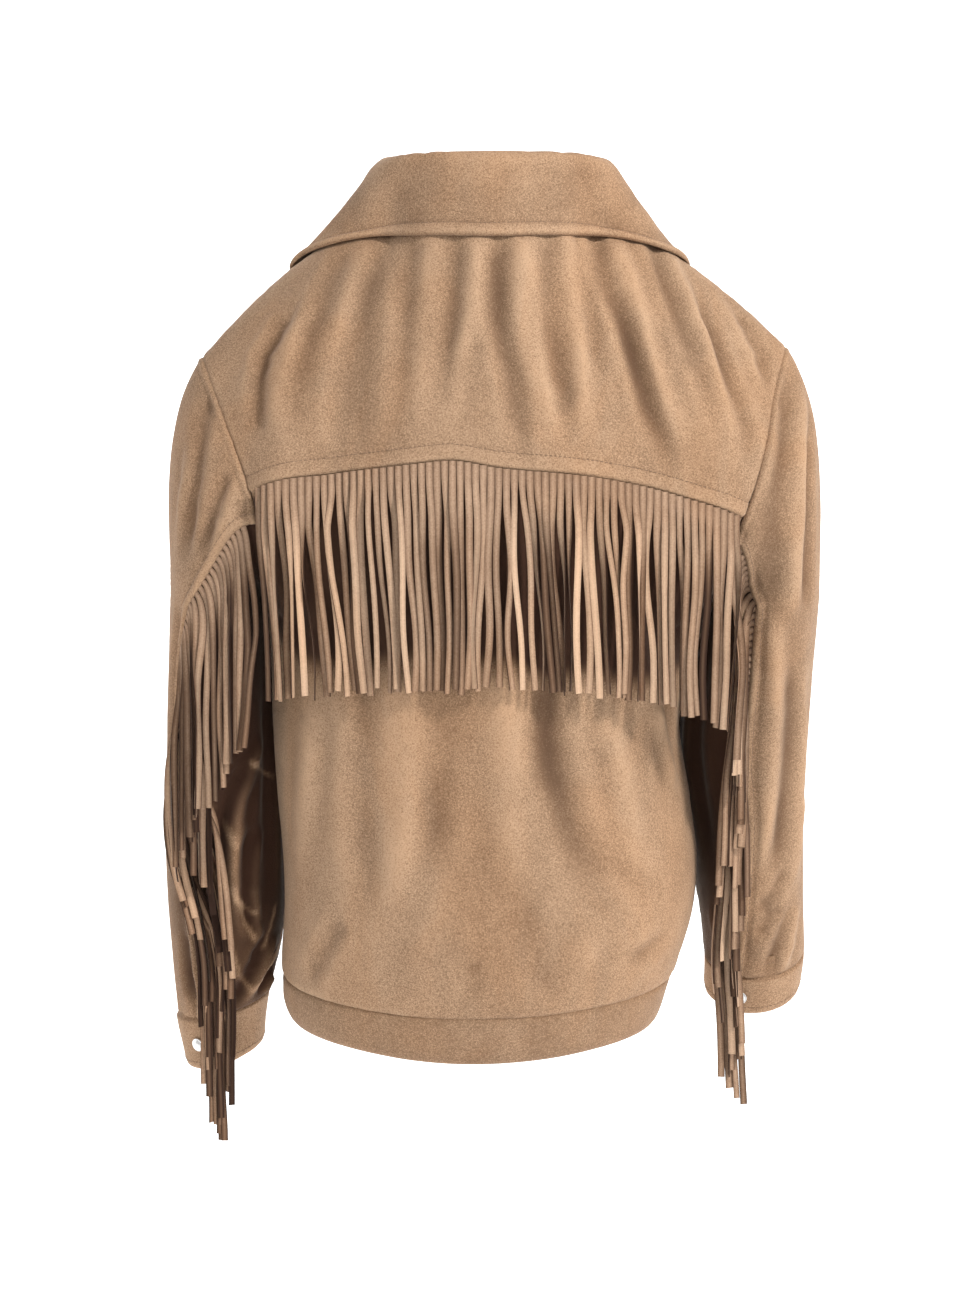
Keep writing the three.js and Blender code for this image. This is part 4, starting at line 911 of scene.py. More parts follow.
k = np.concatenate([np.linspace(0, 1, 111), 1 + np.linspace(0, 1, 42)[1:]])
S = np.repeat(S_BACK[:, None], len(k), 1)
T = np.where(k[None] <= 1, k[None] + 0 * S, 1 + (k[None] - 1) * (T_YOKE - 1)[:, None])
P0, N0 = body(1, S, T), body_normals(1, S, T)
d_low, d_top = arc(P0, 1), arc(P0, 1, True)
d_r, d_l = arc(P0, 0), arc(P0, 0, True)
run = arc(P0, 0)
near = np.minimum(np.minimum(d_low, d_top), np.minimum(d_r, d_l))
h = relief(P0, BACK_LINES, 1) * smooth(0, 10, near)
h = h + seam_shape(d_low, run, 0.0, 6, 13, groove=1.2, pucker=0.6) + seam_shape(np.minimum(d_r, d_l), d_low, 0, 6, 15, groove=0.8)
h = h + 2.7 * np.exp(-((S + 1) / 0.12) ** 2) * np.exp(-((P0[..., 2] + 314) / 20) ** 2) * smooth(0, 3, near)
h = h + 0.7 * noise1(run / 8.5, 21) * np.exp(-((d_low - 7) / 9) ** 2) - 0.8 * np.exp(-(d_top / 6) ** 2)
BACK_P, BACK_N = P0 + N0 * h[..., None], N0
# painted shade: a band under the fringe, from the yoke seam down about 150 mm, is painted very dark
nap_and_shade = nap_and_shade_of(h, 0.1 * noise(P0, (34, 34, 70), 3) + 0.2 * np.exp(-(d_low / 3) ** 2)
             + 0.17 * smooth(30, 110, P0[..., 0]) - 0.2 * np.exp(-((P0[..., 0] + 20) / 60) ** 2)
             - 1.6 * smooth(0, 8, d_top) * (1 - smooth(138, 166, d_top)))
PIECES["back_body"] = shell("back_cloth", BACK_P, BACK_N, CLOTH, SUEDE, nap_and_shade)

# ------------------------------------------------------------------ fronts
LAP_S = math.atan2(LAP, 130) / (math.pi / 2)
for node, flip in (("front_left", 1), ("front_right", -1)):
    s0 = np.concatenate([np.linspace(-LAP_S, NECK_FRONT_S, 26), np.linspace(NECK_FRONT_S, 1, 46)[1:]]) * flip
    k = np.concatenate([np.linspace(0, 1, 76), 1 + np.linspace(0, 1, 80)[1:]])
    S, T = np.meshgrid(s0, k, indexing="ij")
    P0, N0 = body(-1, S, T), body_normals(-1, S, T)
    off = LAP_STEP * smooth(-0.42, -0.16, S) if flip < 0 else -LAP_STEP * smooth(-0.42, -0.16, -S)
    d_edge, d_side = arc(P0, 0), arc(P0, 0, True)
    d_low, d_top = arc(P0, 1), arc(P0, 1, True)
    near = np.minimum(np.minimum(d_low, d_top), d_side)
    h = relief(P0, FRONT_LINES, 2) * smooth(0, 10, near) * smooth(0, 26, d_edge)
    h = h + seam_shape(d_side, d_low, 0, 6, 31, groove=0.9) + seam_shape(d_low, d_edge, 0, 6, 33, groove=1.1, pucker=0.5)
    h = h + seam_shape(d_top, d_edge, 0, 6, 34, groove=0.8) + 0.5 * np.sin(math.pi * np.clip(d_edge / 7, 0, 1))
    P1 = P0 + N0 * (h + off)[..., None]
    nap_and_shade = nap_and_shade_of(h, 0.1 * noise(P0, (34, 34, 70), 1) + 0.15 * np.exp(-(d_edge / 3) ** 2))
    PIECES[node] = shell(node + "_cloth", P1, N0, CLOTH, SUEDE, nap_and_shade)
    NN = normals(P1)
    NN = NN * np.sign((NN * N0).sum(-1).mean())
    stitch(node, *curve_at(P1, NN, 0, False, 7.0))

# ------------------------------------------------------------------ hem band
lap_out = lambda s: LAP_STEP * smooth(-0.42, -0.16, s)
lap_in = lambda s: -LAP_STEP * smooth(-0.42, -0.16, -s)
way = [(-1, s, lap_out(s)) for s in np.linspace(LAP_S, -1, 70)]
way += [(1, s, 0.0) for s in np.linspace(-1, 1, 160)[1:]]
way += [(-1, s, lap_in(s)) for s in np.linspace(1, -LAP_S, 70)[1:]]
k = np.linspace(-0.012, -1, 21)
P0 = np.array([body(hf, np.full(len(k), s), k) for hf, s, _ in way])
N0 = np.array([body_normals(hf, np.full(len(k), s), k) for hf, s, _ in way])
off = np.array([float(o) for _, _, o in way])[:, None]
run, d_top, d_low = arc(P0, 0), arc(P0, 1), arc(P0, 1, True)
h = 0.55 * noise(P0, (40, 40, 60), 1) + 0.7 * noise1(run / 17, 41) * np.sin(math.pi * np.clip(d_top / 36, 0, 1))
h = h + 0.9 * np.sin(math.pi * np.clip(d_top / 37, 0, 1)) ** 0.7 - 1.0 * np.exp(-(d_top / 1.6) ** 2)
h = h - 0.9 * np.exp(-(d_low / 2.2) ** 2) + 0.45 * noise1(run / 6, 42) * np.exp(-(d_top / 7) ** 2) * smooth(0, 2, d_top)
P1 = P0 + N0 * (h + off)[..., None]
nap_and_shade = nap_and_shade_of(h, 0.3 * np.exp(-(d_low / 2.2) ** 2) + 0.1 * noise(P0, (26, 26, 26), 3) - 0.38)
PIECES["hem_band"] = shell("band_cloth", P1, N0, 1.6, SUEDE, nap_and_shade, rim=0.8)

# ------------------------------------------------------------------ sleeves and cuffs
SLEEVE_P = {}
V_SLEEVE = np.concatenate([np.linspace(0, 1, 75), np.linspace(1, 2, 131)[1:]])
WELT = 8.5                    # puffed edge beside the back seam of the sleeve
for side, word in (("L", "left"), ("R", "right")):
    w0 = SEAM_SHARE * YOKE_W[side]
    sw = seam_w(side, V_SLEEVE)
    for part, count in (("under", 46), ("upper", 101)):
        f = np.linspace(0, 1, count)[:, None]
        W = f * sw[None] if part == "under" else sw[None] + f * (1 - sw)[None]
        V = np.broadcast_to(V_SLEEVE[None], W.shape)
        W2 = np.where(W >= 1 - 1e-9, 0.0, W)
        P0, N0 = sleeve(side, W2, V), sleeve_normals(side, W2, V)
        run = arc(P0, 1)
        d_arm, d_cuff = arc(P0, 1), arc(P0, 1, True)
        d_a, d_b = arc(P0, 0), arc(P0, 0, True)
        d_seam = d_b if part == "under" else d_a
        d_inner = d_a if part == "under" else d_b
        near = np.minimum(np.minimum(d_arm, d_cuff), np.minimum(d_a, d_b))
        h = relief(P0, SLEEVE_LINES[side], 3 if side == "L" else 2) * smooth(0, 9, near)
        gather = np.exp(-((d_cuff - 4) / 16) ** 2)
        h = h + 1.0 * noise1(arc(P0, 0) / 9 + (3 if part == "under" else 0), 51) * gather * smooth(0, 3, d_cuff)
        h = h + seam_shape(d_arm, arc(P0, 0), 0.8, 6, 52, groove=0.9, pucker=0.5)
        h = h + seam_shape(d_cuff, arc(P0, 0), 0, 6, 53, groove=1.2, pucker=0.4)
        h = h + seam_shape(d_inner, run, 0, 6, 54, groove=0.8)
        lie = np.minimum(np.abs(W - 0.99), np.abs(W + 0.01)) / 0.075
        h = h + (3.0 if side == "R" else 1.2) * np.exp(-lie ** 2) * np.exp(-((P0[..., 2] + 314) / 20) ** 2)
        if part == "upper":
            h = h + seam_shape(d_seam, run, 2.2, WELT, 55, groove=0.3) + 0.9 * np.exp(-(d_seam / 3) ** 2)
            h = h - 0.7 * np.exp(-((d_seam - WELT) / 1.4) ** 2)
        else:
            h = h - 1.2 * np.exp(-(d_seam / 3) ** 2)
        P1 = P0 + N0 * h[..., None]
        extra = 0.1 * noise(P0, (30, 30, 60), 1) + 0.1 * np.exp(-(d_arm / 3) ** 2) - (0.14 if side == "L" else 0.24)
        if part == "upper":
            # painted shade: the upper panel darkens towards its inner seam, below the armhole
            extra = extra + 0.3 * np.exp(-(d_seam / 2.5) ** 2) - 0.9 * np.exp(-(d_inner / 22) ** 2) * smooth(40, 90, d_arm)
        else:
            # painted shade: the under panel, between sleeve and body, is painted dark, a little less so lower down
            extra = extra - (1.42 if side == "L" else 1.25) * (1 - 0.25 * smooth(200, 330, d_arm))
        if side == "L":
            # painted highlight along the shine lines: paler colour, and the cloth raised a little
            glint = np.clip(fold_field(P0, SHINE_LINES), 0, 1.4)
            extra, h = extra + 1.15 * glint, h + 0.5 * glint * smooth(0, 9, near)
            if part == "upper":
                # painted shade: the lower left sleeve darkens towards the back seam, beside the fringe
                extra = extra - 0.8 * np.exp(-(d_seam / 42) ** 2) * smooth(190, 300, d_arm) * smooth(0, 30, d_cuff)
        nap_and_shade = nap_and_shade_of(h, extra)
        PIECES[f"sleeve_{word}_{part}"] = shell(f"sleeve_{word}_{part}_cloth", P1, N0, CLOTH, SUEDE, nap_and_shade)
        SLEEVE_P[side, part] = P1
        if part == "upper":
            NN = normals(P1)
            NN = NN * np.sign((NN * N0).sum(-1).mean())
            stitch(f"sleeve_{word}_upper", *curve_at(P1, NN, 0, False, WELT))

    ws, lap = float(seam_w(side, 2.0)), BAND_LAP / 230
    wc = np.linspace(ws - lap * 0.35, ws + 1 + lap * 0.65, 131)
    k = np.concatenate([[1.955, 1.985, 2.01, 2.035, 2.06], np.linspace(2.1, 2.93, 17), [2.97, 3.0]])
    W, V = np.meshgrid(wc, k, indexing="ij")
    P0, N0 = sleeve(side, W, V), sleeve_normals(side, W, V)
    off = LAP_STEP * (1 - smooth(ws + 0.16, ws + 0.3, W)) - LAP_STEP * smooth(ws + 0.7, ws + 0.84, W) + 0.2
    run, d_top, d_low = arc(P0, 0), arc(P0, 1), arc(P0, 1, True)
    h = 0.5 * noise(P0, (22, 22, 30), 2) + 0.5 * noise1(run / 14, 61) + 0.5 * np.sin(math.pi * np.clip(d_top / 40, 0, 1))
    h = h - 3.2 * smooth(2.05, 2.0, V) - 0.7 * np.exp(-(d_low / 2) ** 2)
    P1 = P0 + N0 * (h * smooth(0, 14, np.minimum(arc(P0, 0), arc(P0, 0, True)) + 7) + off)[..., None]
    nap_and_shade = nap_and_shade_of(h, 0.25 * np.exp(-(d_low / 2) ** 2) + 0.1 * noise(P0, (20, 20, 20), 3) - 0.05)
    PIECES[f"cuff_{word}"] = shell(f"cuff_{word}_cloth", P1, N0, 1.5, SUEDE, nap_and_shade, rim=0.8)
    NN = normals(P1)
    NN = NN * np.sign((NN * N0).sum(-1).mean())
    stitch(f"cuff_{word}", *curve_at(P1, NN, 1, False, 5.6))
    stitch(f"cuff_{word}", *curve_at(P1, NN, 1, True, 5.0))


# ------------------------------------------------------------------ collar
def collar_points(u):
    """Nine points of each section from the neckline over the roll to the outer edge."""
    q, sg = np.abs(u), np.where(u < 0, -1.0, 1.0)
    front = q > 0.5
    n = np.where(front[:, None], NECK_FRONT.xyz(1 - (q - 0.5) / 0.5 * COLLAR_END), NECK_BACK.xyz(q / 0.5))
    r = COLLAR_ROLL.xyz(q)
    for g in (n, r):
        g[:, 0] *= sg
    r[:, 0] += ROLL_SHIFT * (1 - smooth(0.6, 1, q))
    x, z = sg * COLLAR_EDGE.at("x", q), COLLAR_EDGE.at("z", q)
    e, en = np.empty_like(n), np.empty_like(n)
    for half, m in ((1, ~front), (-1, front)):
        s, t = on_body(half, x[m], z[m])
        en[m] = body_normals(half, s, t)
        e[m] = body(half, s, t) + en[m] * COLLAR_OVER
    n = n + unit(r - n) * 3.2
    away = unit(np.stack([e[:, 0] - n[:, 0], e[:, 1] - n[:, 1], 0 * q], -1))
    rise, fall = r - n, e - r
    size = np.linalg.norm(fall, axis=1, keepdims=True)
    sd = (smooth(0.2, 0.42, q) * (1 - smooth(0.62, 0.8, q)))[:, None]
    t0 = away * size * mix(0.75, 0.3, sd)
    t1 = unit(fall - en * (fall * en).sum(1, keepdims=True)) * size * mix(0.9, 1.25, sd)
    pts = [n, n + rise * 0.45, n + rise * 0.84]
    for kk in (0, 0.16, 0.36, 0.6, 0.82, 1):
        pts.append(hermite(r + np.array([0, 0, 2.6]), t0, e, t1, np.full(len(u), kk)))
    return np.stack(pts, 1)


U = np.linspace(-1, 1, 262)
C = collar_points(U)
fine = []
for row in C:
    kk = np.concatenate([[0], np.cumsum(np.linalg.norm(np.diff(row, axis=0), axis=1))])
    tab = Table("k x y z", np.column_stack([kk, row]))
    fine.append(tab.xyz(np.linspace(0, 1, 66) ** 0.9 * kk[-1]))
P0 = np.array(fine)
for _ in range(26):
    P0[1:-1] = (P0[:-2] + 2 * P0[1:-1] + P0[2:]) / 4
N0 = normals(P0)
ctr = np.array([0, -10, -10.0])
N0 = N0 * np.sign((N0[131, 50] * (P0[131, 50] - ctr)).sum())
d_edge, run = arc(P0, 1, True), arc(P0, 0)
d_end = np.minimum(arc(P0, 0), arc(P0, 0, True))
rim_d = np.minimum(d_edge, d_end)
COLLAR_STITCH = 9.6
h = 0.5 * noise(P0, (40, 40, 30), 2) + 0.25 * noise(P0, (16, 16, 14), 1) + 0.3 * noise(P0, (46, 46, 6), 2)
h = h * smooth(0, 14, rim_d)
h = h + 1.7 * np.exp(-((P0[..., 2] - P0[..., 2].max(1, keepdims=True)) / 9) ** 2) * smooth(0.7, 0.4, np.abs(U))[:, None]
lift = 1.25 * np.sin(math.pi * np.clip(rim_d / COLLAR_STITCH, 0, 1)) ** 0.8 * (rim_d < COLLAR_STITCH) * (1 + 0.3 * noise1(run / 13, 71))
h = h + lift - 0.9 * np.exp(-((rim_d - COLLAR_STITCH) / 1.1) ** 2) + 0.3 * noise1(run / 7, 72) * np.exp(-((rim_d - 12) / 7) ** 2)
P1 = P0 + N0 * (COLLAR_WALL / 2 + h)[..., None]
thick = COLLAR_WALL + h * 0.6
nap_and_shade = nap_and_shade_of(h, 0.35 * np.exp(-((rim_d - 2.5) / 2.5) ** 2) + 0.22 * noise(P0, (24, 24, 18), 2) - 0.1
             - 0.16 * smooth(-20, -70, P0[..., 0]))
PIECES["collar"] = shell("collar_cloth", P1, N0, thick, SUEDE, nap_and_shade, rim=0.5)
NN = normals(P1)
NN = NN * np.sign((NN * N0).sum(-1).mean())
stitch("collar", *curve_at(P1, NN, 1, True, COLLAR_STITCH), lift=0.05, trim=COLLAR_STITCH)
COLLAR_P = P1

# ------------------------------------------------------------------ sewing
for owner, lines in STITCHES.items():
    PIECES["sewing_" + owner] = tube_mesh("sewing_" + owner, lines, THREAD / 2, THREAD_MAT)

# ------------------------------------------------------------------ what the fringe hangs against
depsgraph = bpy.context.evaluated_depsgraph_get()


def tree(*names):
    verts, polys, base = [], [], 0
    for nme in names:
        me = PIECES[nme].data
        co = np.empty(len(me.vertices) * 3, np.float32)
        me.vertices.foreach_get("co", co)
        verts += [Vector(c) for c in co.reshape(-1, 3)]
        polys += [tuple(v + base for v in p.vertices) for p in me.polygons]
        base = len(verts)
    return BVHTree.FromPolygons(verts, polys)


BACK_TREE = tree("back_yoke", "back_body", "sleeve_left_under", "sleeve_left_upper", "sleeve_right_under",
                 "sleeve_right_upper", "cuff_left", "cuff_right", "hem_band")


def cover_y(x, z, start=200.0):
    """y of the cloth's outer face behind a point, or None where there is no cloth."""
    hit = BACK_TREE.ray_cast(Vector((x / 1000, start / 1000, z / 1000)), Vector((0, -1, 0)))
    return None if hit[0] is None else hit[0].y * 1000


# ------------------------------------------------------------------ fringe
class Strands:
    def __init__(self):
        self.verts, self.quads, self.tris, self.tone, self.base = [], [], [], [], 0

    def add(self, path, across, face, width, thick, tone):
        """path (n,3); across and face are unit vectors at each point; width (n)."""
        n = len(path)
        hw, ht = width / 2, thick / 2
        ring = []
        for a, b in ((1, 0.4), (0.91, 1), (0, 1), (-0.91, 1), (-1, 0.4), (-1, -0.4), (-0.91, -1), (0, -1), (0.91, -1), (1, -0.4)):
            ring.append(path + across * (a * hw)[:, None] + face * (b * ht))
        m = len(ring)
        v = np.stack(ring, 1)
        g = self.base + np.arange(n * m).reshape(n, m)
        f = np.stack([g[:-1], g[1:], np.roll(g[1:], -1, 1), np.roll(g[:-1], -1, 1)], -1).reshape(-1, 4)
        self.verts.append(v.reshape(-1, 3))
        self.quads.append(f)
        for end, rev in ((0, False), (n - 1, True)):
            r = list(g[end])
            for q in ([r[0], r[1], r[8], r[9]], [r[1], r[2], r[7], r[8]], [r[2], r[3], r[6], r[7]], [r[3], r[4], r[5], r[6]]):
                self.quads.append(np.array([q if not rev else q[::-1]]))
        # painted shade: each strip's sides and back are painted darker than its face
        shade = np.array([-2.0, -0.45, 0.12, -0.45, -2.0, -2.0, -1.2, -1.1, -1.2, -2.0])
        self.tone.append((np.broadcast_to(tone, n)[:, None] + shade).ravel())
        self.base += n * m

    def mesh(self, name, mat):
        ob = make_mesh(name, np.concatenate(self.verts), np.concatenate(self.quads), mat, {"nap_and_shade": np.concatenate(self.tone)})
        ob.data.set_sharp_from_angle(angle=math.radians(24))
        return ob


def strand_frames(path, twist):
    """Directions across and out of the face of a strip that follows a path, turned by twist about it."""
    t = unit(np.gradient(path, axis=0))
    out = np.array([0, 1.0, 0]) - t * t[:, 1:2]
    out = unit(out)
    side = np.cross(t, out)
    c, s = np.cos(twist)[:, None], np.sin(twist)[:, None]
    return side * c + out * s, out * c - side * s


rng = np.random.default_rng(7)
# Back: strands run side by side out of the yoke seam.
LEAN = Table("px shift", [[255, 8], [300, 10], [350, 12], [440, 10], [480, 3], [520, 10], [560, 5], [620, 2],
                          [680, -1], [712, -6], [735, -3], [760, 2]])
END = Table("px py", [[255, 704], [275, 702], [300, 698], [345, 693], [440, 690], [560, 691], [600, 695], [635, 699],
                      [660, 702], [680, 712], [700, 722], [720, 727], [735, 735], [745, 742], [760, 752]])
seam_s = np.linspace(-1, 1, 1200)
seam_p = body(1, seam_s, yoke_t(seam_s))
seam_n = body_normals(1, seam_s, yoke_t(seam_s))
cum = np.concatenate([[0], np.cumsum(np.linalg.norm(np.diff(seam_p, axis=0), axis=1))])
lo_run, hi_run = 9.0, cum[-1] - 8.0
count = int(round((hi_run - lo_run) / PITCH_FRINGE))
pitch = (hi_run - lo_run) / count
back = Strands()
cluster = rng.uniform(-1, 1, count + 4)
for i in range(count):
    c = lo_run + (i + 0.5) * pitch
    p0 = np.array([np.interp(c, cum, seam_p[:, a]) for a in range(3)])
    n0 = unit(np.array([np.interp(c, cum, seam_n[:, a]) for a in range(3)]))
    px, py = to_picture(p0)
    layer = rng.choice([0, 1, 2], p=[0.26, 0.4, 0.34])
    end_px = px + float(LEAN.at("shift", px)) + 9.5 * noise1(i / 2.7, 81) + 3.5 * noise1(i / 7.0, 82) + rng.normal(0, 1.6)
    y_end = p0[1]
    n = 30
    tau = np.linspace(0, 1, n) ** 1.15
    end_x, end_z = from_picture(end_px, float(END.at("py", end_px)) + rng.normal(0, 2.2), y_end + 4)
    z = mix(p0[2] - 0.5, float(end_z), tau)
    bow = rng.normal(0, 1.6) * np.sin(math.pi * tau) + rng.normal(0, 1.0) * np.sin(2 * math.pi * tau) + rng.normal(0, 0.5) * np.sin(3.3 * math.pi * tau)
    x = p0[0] + (float(end_x) - p0[0]) * smooth(0.02, 1.1, tau) / smooth(0.02, 1.1, 1.0) + bow * smooth(0.04, 0.25, tau)
    y = np.empty(n)
    top_y = -1e9
    stand = 2.4 + 2.3 * layer
    for kk in range(n):
        best = None
        for dx in (-2.4, 0, 2.4):
            cy = cover_y(x[kk] + dx, min(z[kk], p0[2] - 1.5))
            if cy is not None and (best is None or cy > best):
                best = cy
        if best is not None:
            top_y = max(top_y, best)
        if top_y < -1e8:
            top_y = p0[1]
        y[kk] = top_y + 0.9 + stand * smooth(0.02, 0.22, tau[kk]) + 0.3
        top_y -= 0.10
    y = y + 1.1 * noise1(tau * 3 + 9.1 * i, 83) * smooth(0.1, 0.4, tau)
    path = np.stack([x, y, z], -1)
    path[:3] += n0 * np.array([0.2, 0.1, 0.0])[:, None]
    kinds = rng.uniform()
    tw = rng.normal(0, 0.34) if kinds < 0.84 else rng.choice([-1, 1]) * rng.uniform(0.8, 1.5)
    twist = tw * smooth(0.06, 0.55, tau) + 0.35 * noise1(tau * 2.2 + 4.3 * i, 84) * smooth(0.08, 0.3, tau)
    along_mm = np.concatenate([[0], np.cumsum(np.linalg.norm(np.diff(path, axis=0), axis=1))])
    slit = rng.uniform(4, 9)
    wide = np.where(along_mm < slit, pitch + 0.15, mix(pitch + 0.1, rng.normal(5.55, 0.4), smooth(slit, slit + 14, along_mm)))
    a, b = strand_frames(path, twist)
    # painted shade: strands that hang nearer the cloth are darker, more so lower down; on top of a random tone per
    # strand, and all strands darker just below the seam
    back.add(path, a, b, wide, 0.95, 0.08 + (float(np.clip(rng.normal(0.16, 0.26), -0.6, 0.7) - (0, 0.22, 0.78)[2 - layer]) - 0.08) * smooth(0.05, 0.45, tau)
             - 0.3 * smooth(0.3, 0.0, tau))
PIECES["back_fringe"] = back.mesh("back_fringe_strands", STRAND)

# Sleeves: strands leave the seam square to it, turn down and hang over one another.
SPREAD = {
    "L": Table("z x0 x1", [[-760, 213, 228], [-720, 206, 232], [-677, 205, 233], [-632, 203, 234], [-588, 201, 233],
                           [-546, 204, 239], [-504, 203, 255], [-447, 199, 263], [-382, 188, 266], [-335, 184, 257],
                           [-301, 172, 236], [-254, 182, 206]]),
    "R": Table("z x0 x1", [[-740, 196, 206], [-720, 193, 210], [-678, 188, 211], [-634, 188, 210], [-580, 172, 208],
                           [-546, 175, 208], [-504, 178, 206], [-430, 178, 211], [-382, 184, 211], [-341, 196, 213],
                           [-301, 200, 213], [-268, 203, 210]])}
V_FROM, V_TO = {"L": 0.12, "R": 0.10}, {"L": 1.835, "R": 1.83}
for side, word in (("L", "left"), ("R", "right")):
    sign = SIGN[side]
    vv = np.linspace(V_FROM[side], V_TO[side], 900)
    sp = sleeve(side, seam_w(side, vv), vv)
    sn = sleeve_normals(side, seam_w(side, vv), vv)
    into = sleeve(side, seam_w(side, vv) - 0.01, vv) - sp
    tang = unit(np.gradient(sp, axis=0))
    into = unit(into - tang * (into * tang).sum(1, keepdims=True))
    cum = np.concatenate([[0], np.cumsum(np.linalg.norm(np.diff(sp, axis=0), axis=1))])
    count = int(cum[-1] / PITCH_FRINGE)
    bunch = Strands()
    for i in range(count):
        c = (i + 0.5) * PITCH_FRINGE
        g = lambda arr: np.array([np.interp(c, cum, arr[:, a]) for a in range(3)])
        p0, n0, d0, t0 = g(sp), unit(g(sn)), unit(g(into)), unit(g(tang))
        length = rng.normal(171, 4)
        low_end = (-760 if side == "L" else -730) + rng.uniform(0, 9)
        fan = float(smooth(-335, -400, p0[2])) if side == "L" else float(smooth(-290, -350, p0[2]))
        drift = rng.normal(0, 2.5)
        n = 34
        q = np.linspace(0, 1, n) ** 1.3 * length
        rank = np.clip(rng.beta(1.2, 1.0), 0.02, 0.98)
        bend = rng.uniform(8, 12)
        pts = [p0 + n0 * 0.6]
        out_first = rng.uniform(0.15, 0.5)
        layer = rng.uniform(0, 1)
        x_bias = rng.normal(0, 1.2)
        top_y = p0[1] - 50
        for kk in range(1, n):
            step = q[kk] - q[kk - 1]
            turn = math.exp(-q[kk] / bend)
            d = unit(d0 * turn + n0 * out_first * turn + np.array([0, 0, -1.0]) * (1.02 - turn))
            cur = pts[-1] + d * step
            if q[kk] < 30:
                leave = cur[0]
            if q[kk] > 8:
                z = cur[2]
                lo_x = float(SPREAD[side].at("x0", max(min(z, -254), -760)))
                hi_x = float(SPREAD[side].at("x1", max(min(z, -254), -760)))
                mine = np.clip(sign * leave + drift, lo_x + 2, hi_x - 2)
                want = sign * (mix(mine, mix(lo_x, hi_x, rank), fan) + x_bias)
                pull = smooth(8, 70, q[kk]) * (0.22 if side == "L" else 0.09)
                cur[0] += (want - cur[0]) * pull
            best = None
            for dx in (-2.2, 2.2):
                cy = cover_y(cur[0] + dx, cur[2])
                if cy is not None and (best is None or cy > best):
                    best = cy
            if best is not None and q[kk] > 3:
                top_y = max(top_y - 0.25 * step, best)
                cur[1] = max(cur[1], top_y + 1.0 + (1.0 + 3.6 * layer + 5.0 * q[kk] / length) * smooth(3, 30, q[kk]))
            elif q[kk] > 20:
                cur[1] += (5 + 8 * q[kk] / length - cur[1]) * 0.02 if side == "L" else (2 + 8 * q[kk] / length - cur[1]) * 0.02
            pts.append(cur)
        path = np.array(pts)
        if path[-1, 2] < low_end:
            path[:, 2] = np.where(path[:, 2] < p0[2] - 40, p0[2] - 40 + (path[:, 2] - p0[2] + 40)
                                  * (low_end - p0[2] + 40) / (path[-1, 2] - p0[2] + 40), path[:, 2])
        path[:, 1] = np.convolve(np.pad(path[:, 1], 2, mode="edge"), [0.1, 0.2, 0.4, 0.2, 0.1], mode="valid")
        path[0] = pts[0]
        f = q / length
        path[:, 0] += 1.6 * noise1(f * 3 + 7.7 * i, 91) * smooth(0.1, 0.4, f)
        twist0 = rng.normal(0, 0.35) if rng.uniform() < 0.82 else rng.choice([-1, 1]) * rng.uniform(0.9, 1.6)
        twist = twist0 * smooth(0.1, 0.6, f) + 0.4 * noise1(f * 2.5 + 3.1 * i, 92) * smooth(0.1, 0.4, f)
        # frames: at the seam the strip lies flat on the cloth, lower down it faces out
        t = unit(np.gradient(path, axis=0))
        blend = smooth(0, 26, q)[:, None]
        ref = unit(n0 * (1 - blend) + np.array([sign * 0.1, 1.0, 0]) * blend)
        out = unit(ref - t * (ref * t).sum(1, keepdims=True))
        sd = np.cross(t, out)
        cc, ss = np.cos(twist)[:, None], np.sin(twist)[:, None]
        width = mix(PITCH_FRINGE - 0.7, rng.normal(5.6, 0.5), smooth(2, 9, q))
        # painted shade: strands nearer the cloth are darker, and the left sleeve's strands darker overall; on top of a
        # random tone per strand, and darker just below the seam
        bunch.add(path, sd * cc + out * ss, out * cc - sd * ss, width, 0.95,
                  0.05 + (float(np.clip(rng.normal(-0.08 if side == "R" else -0.24, 0.34), -0.9, 0.8)
                                - 1.1 * (1 - layer) ** 2) - 0.05) * smooth(0.04, 0.3, f) - 0.25 * smooth(0.25, 0.0, f))
    PIECES[f"sleeve_{word}_fringe"] = bunch.mesh(f"sleeve_{word}_fringe_strands", STRAND)


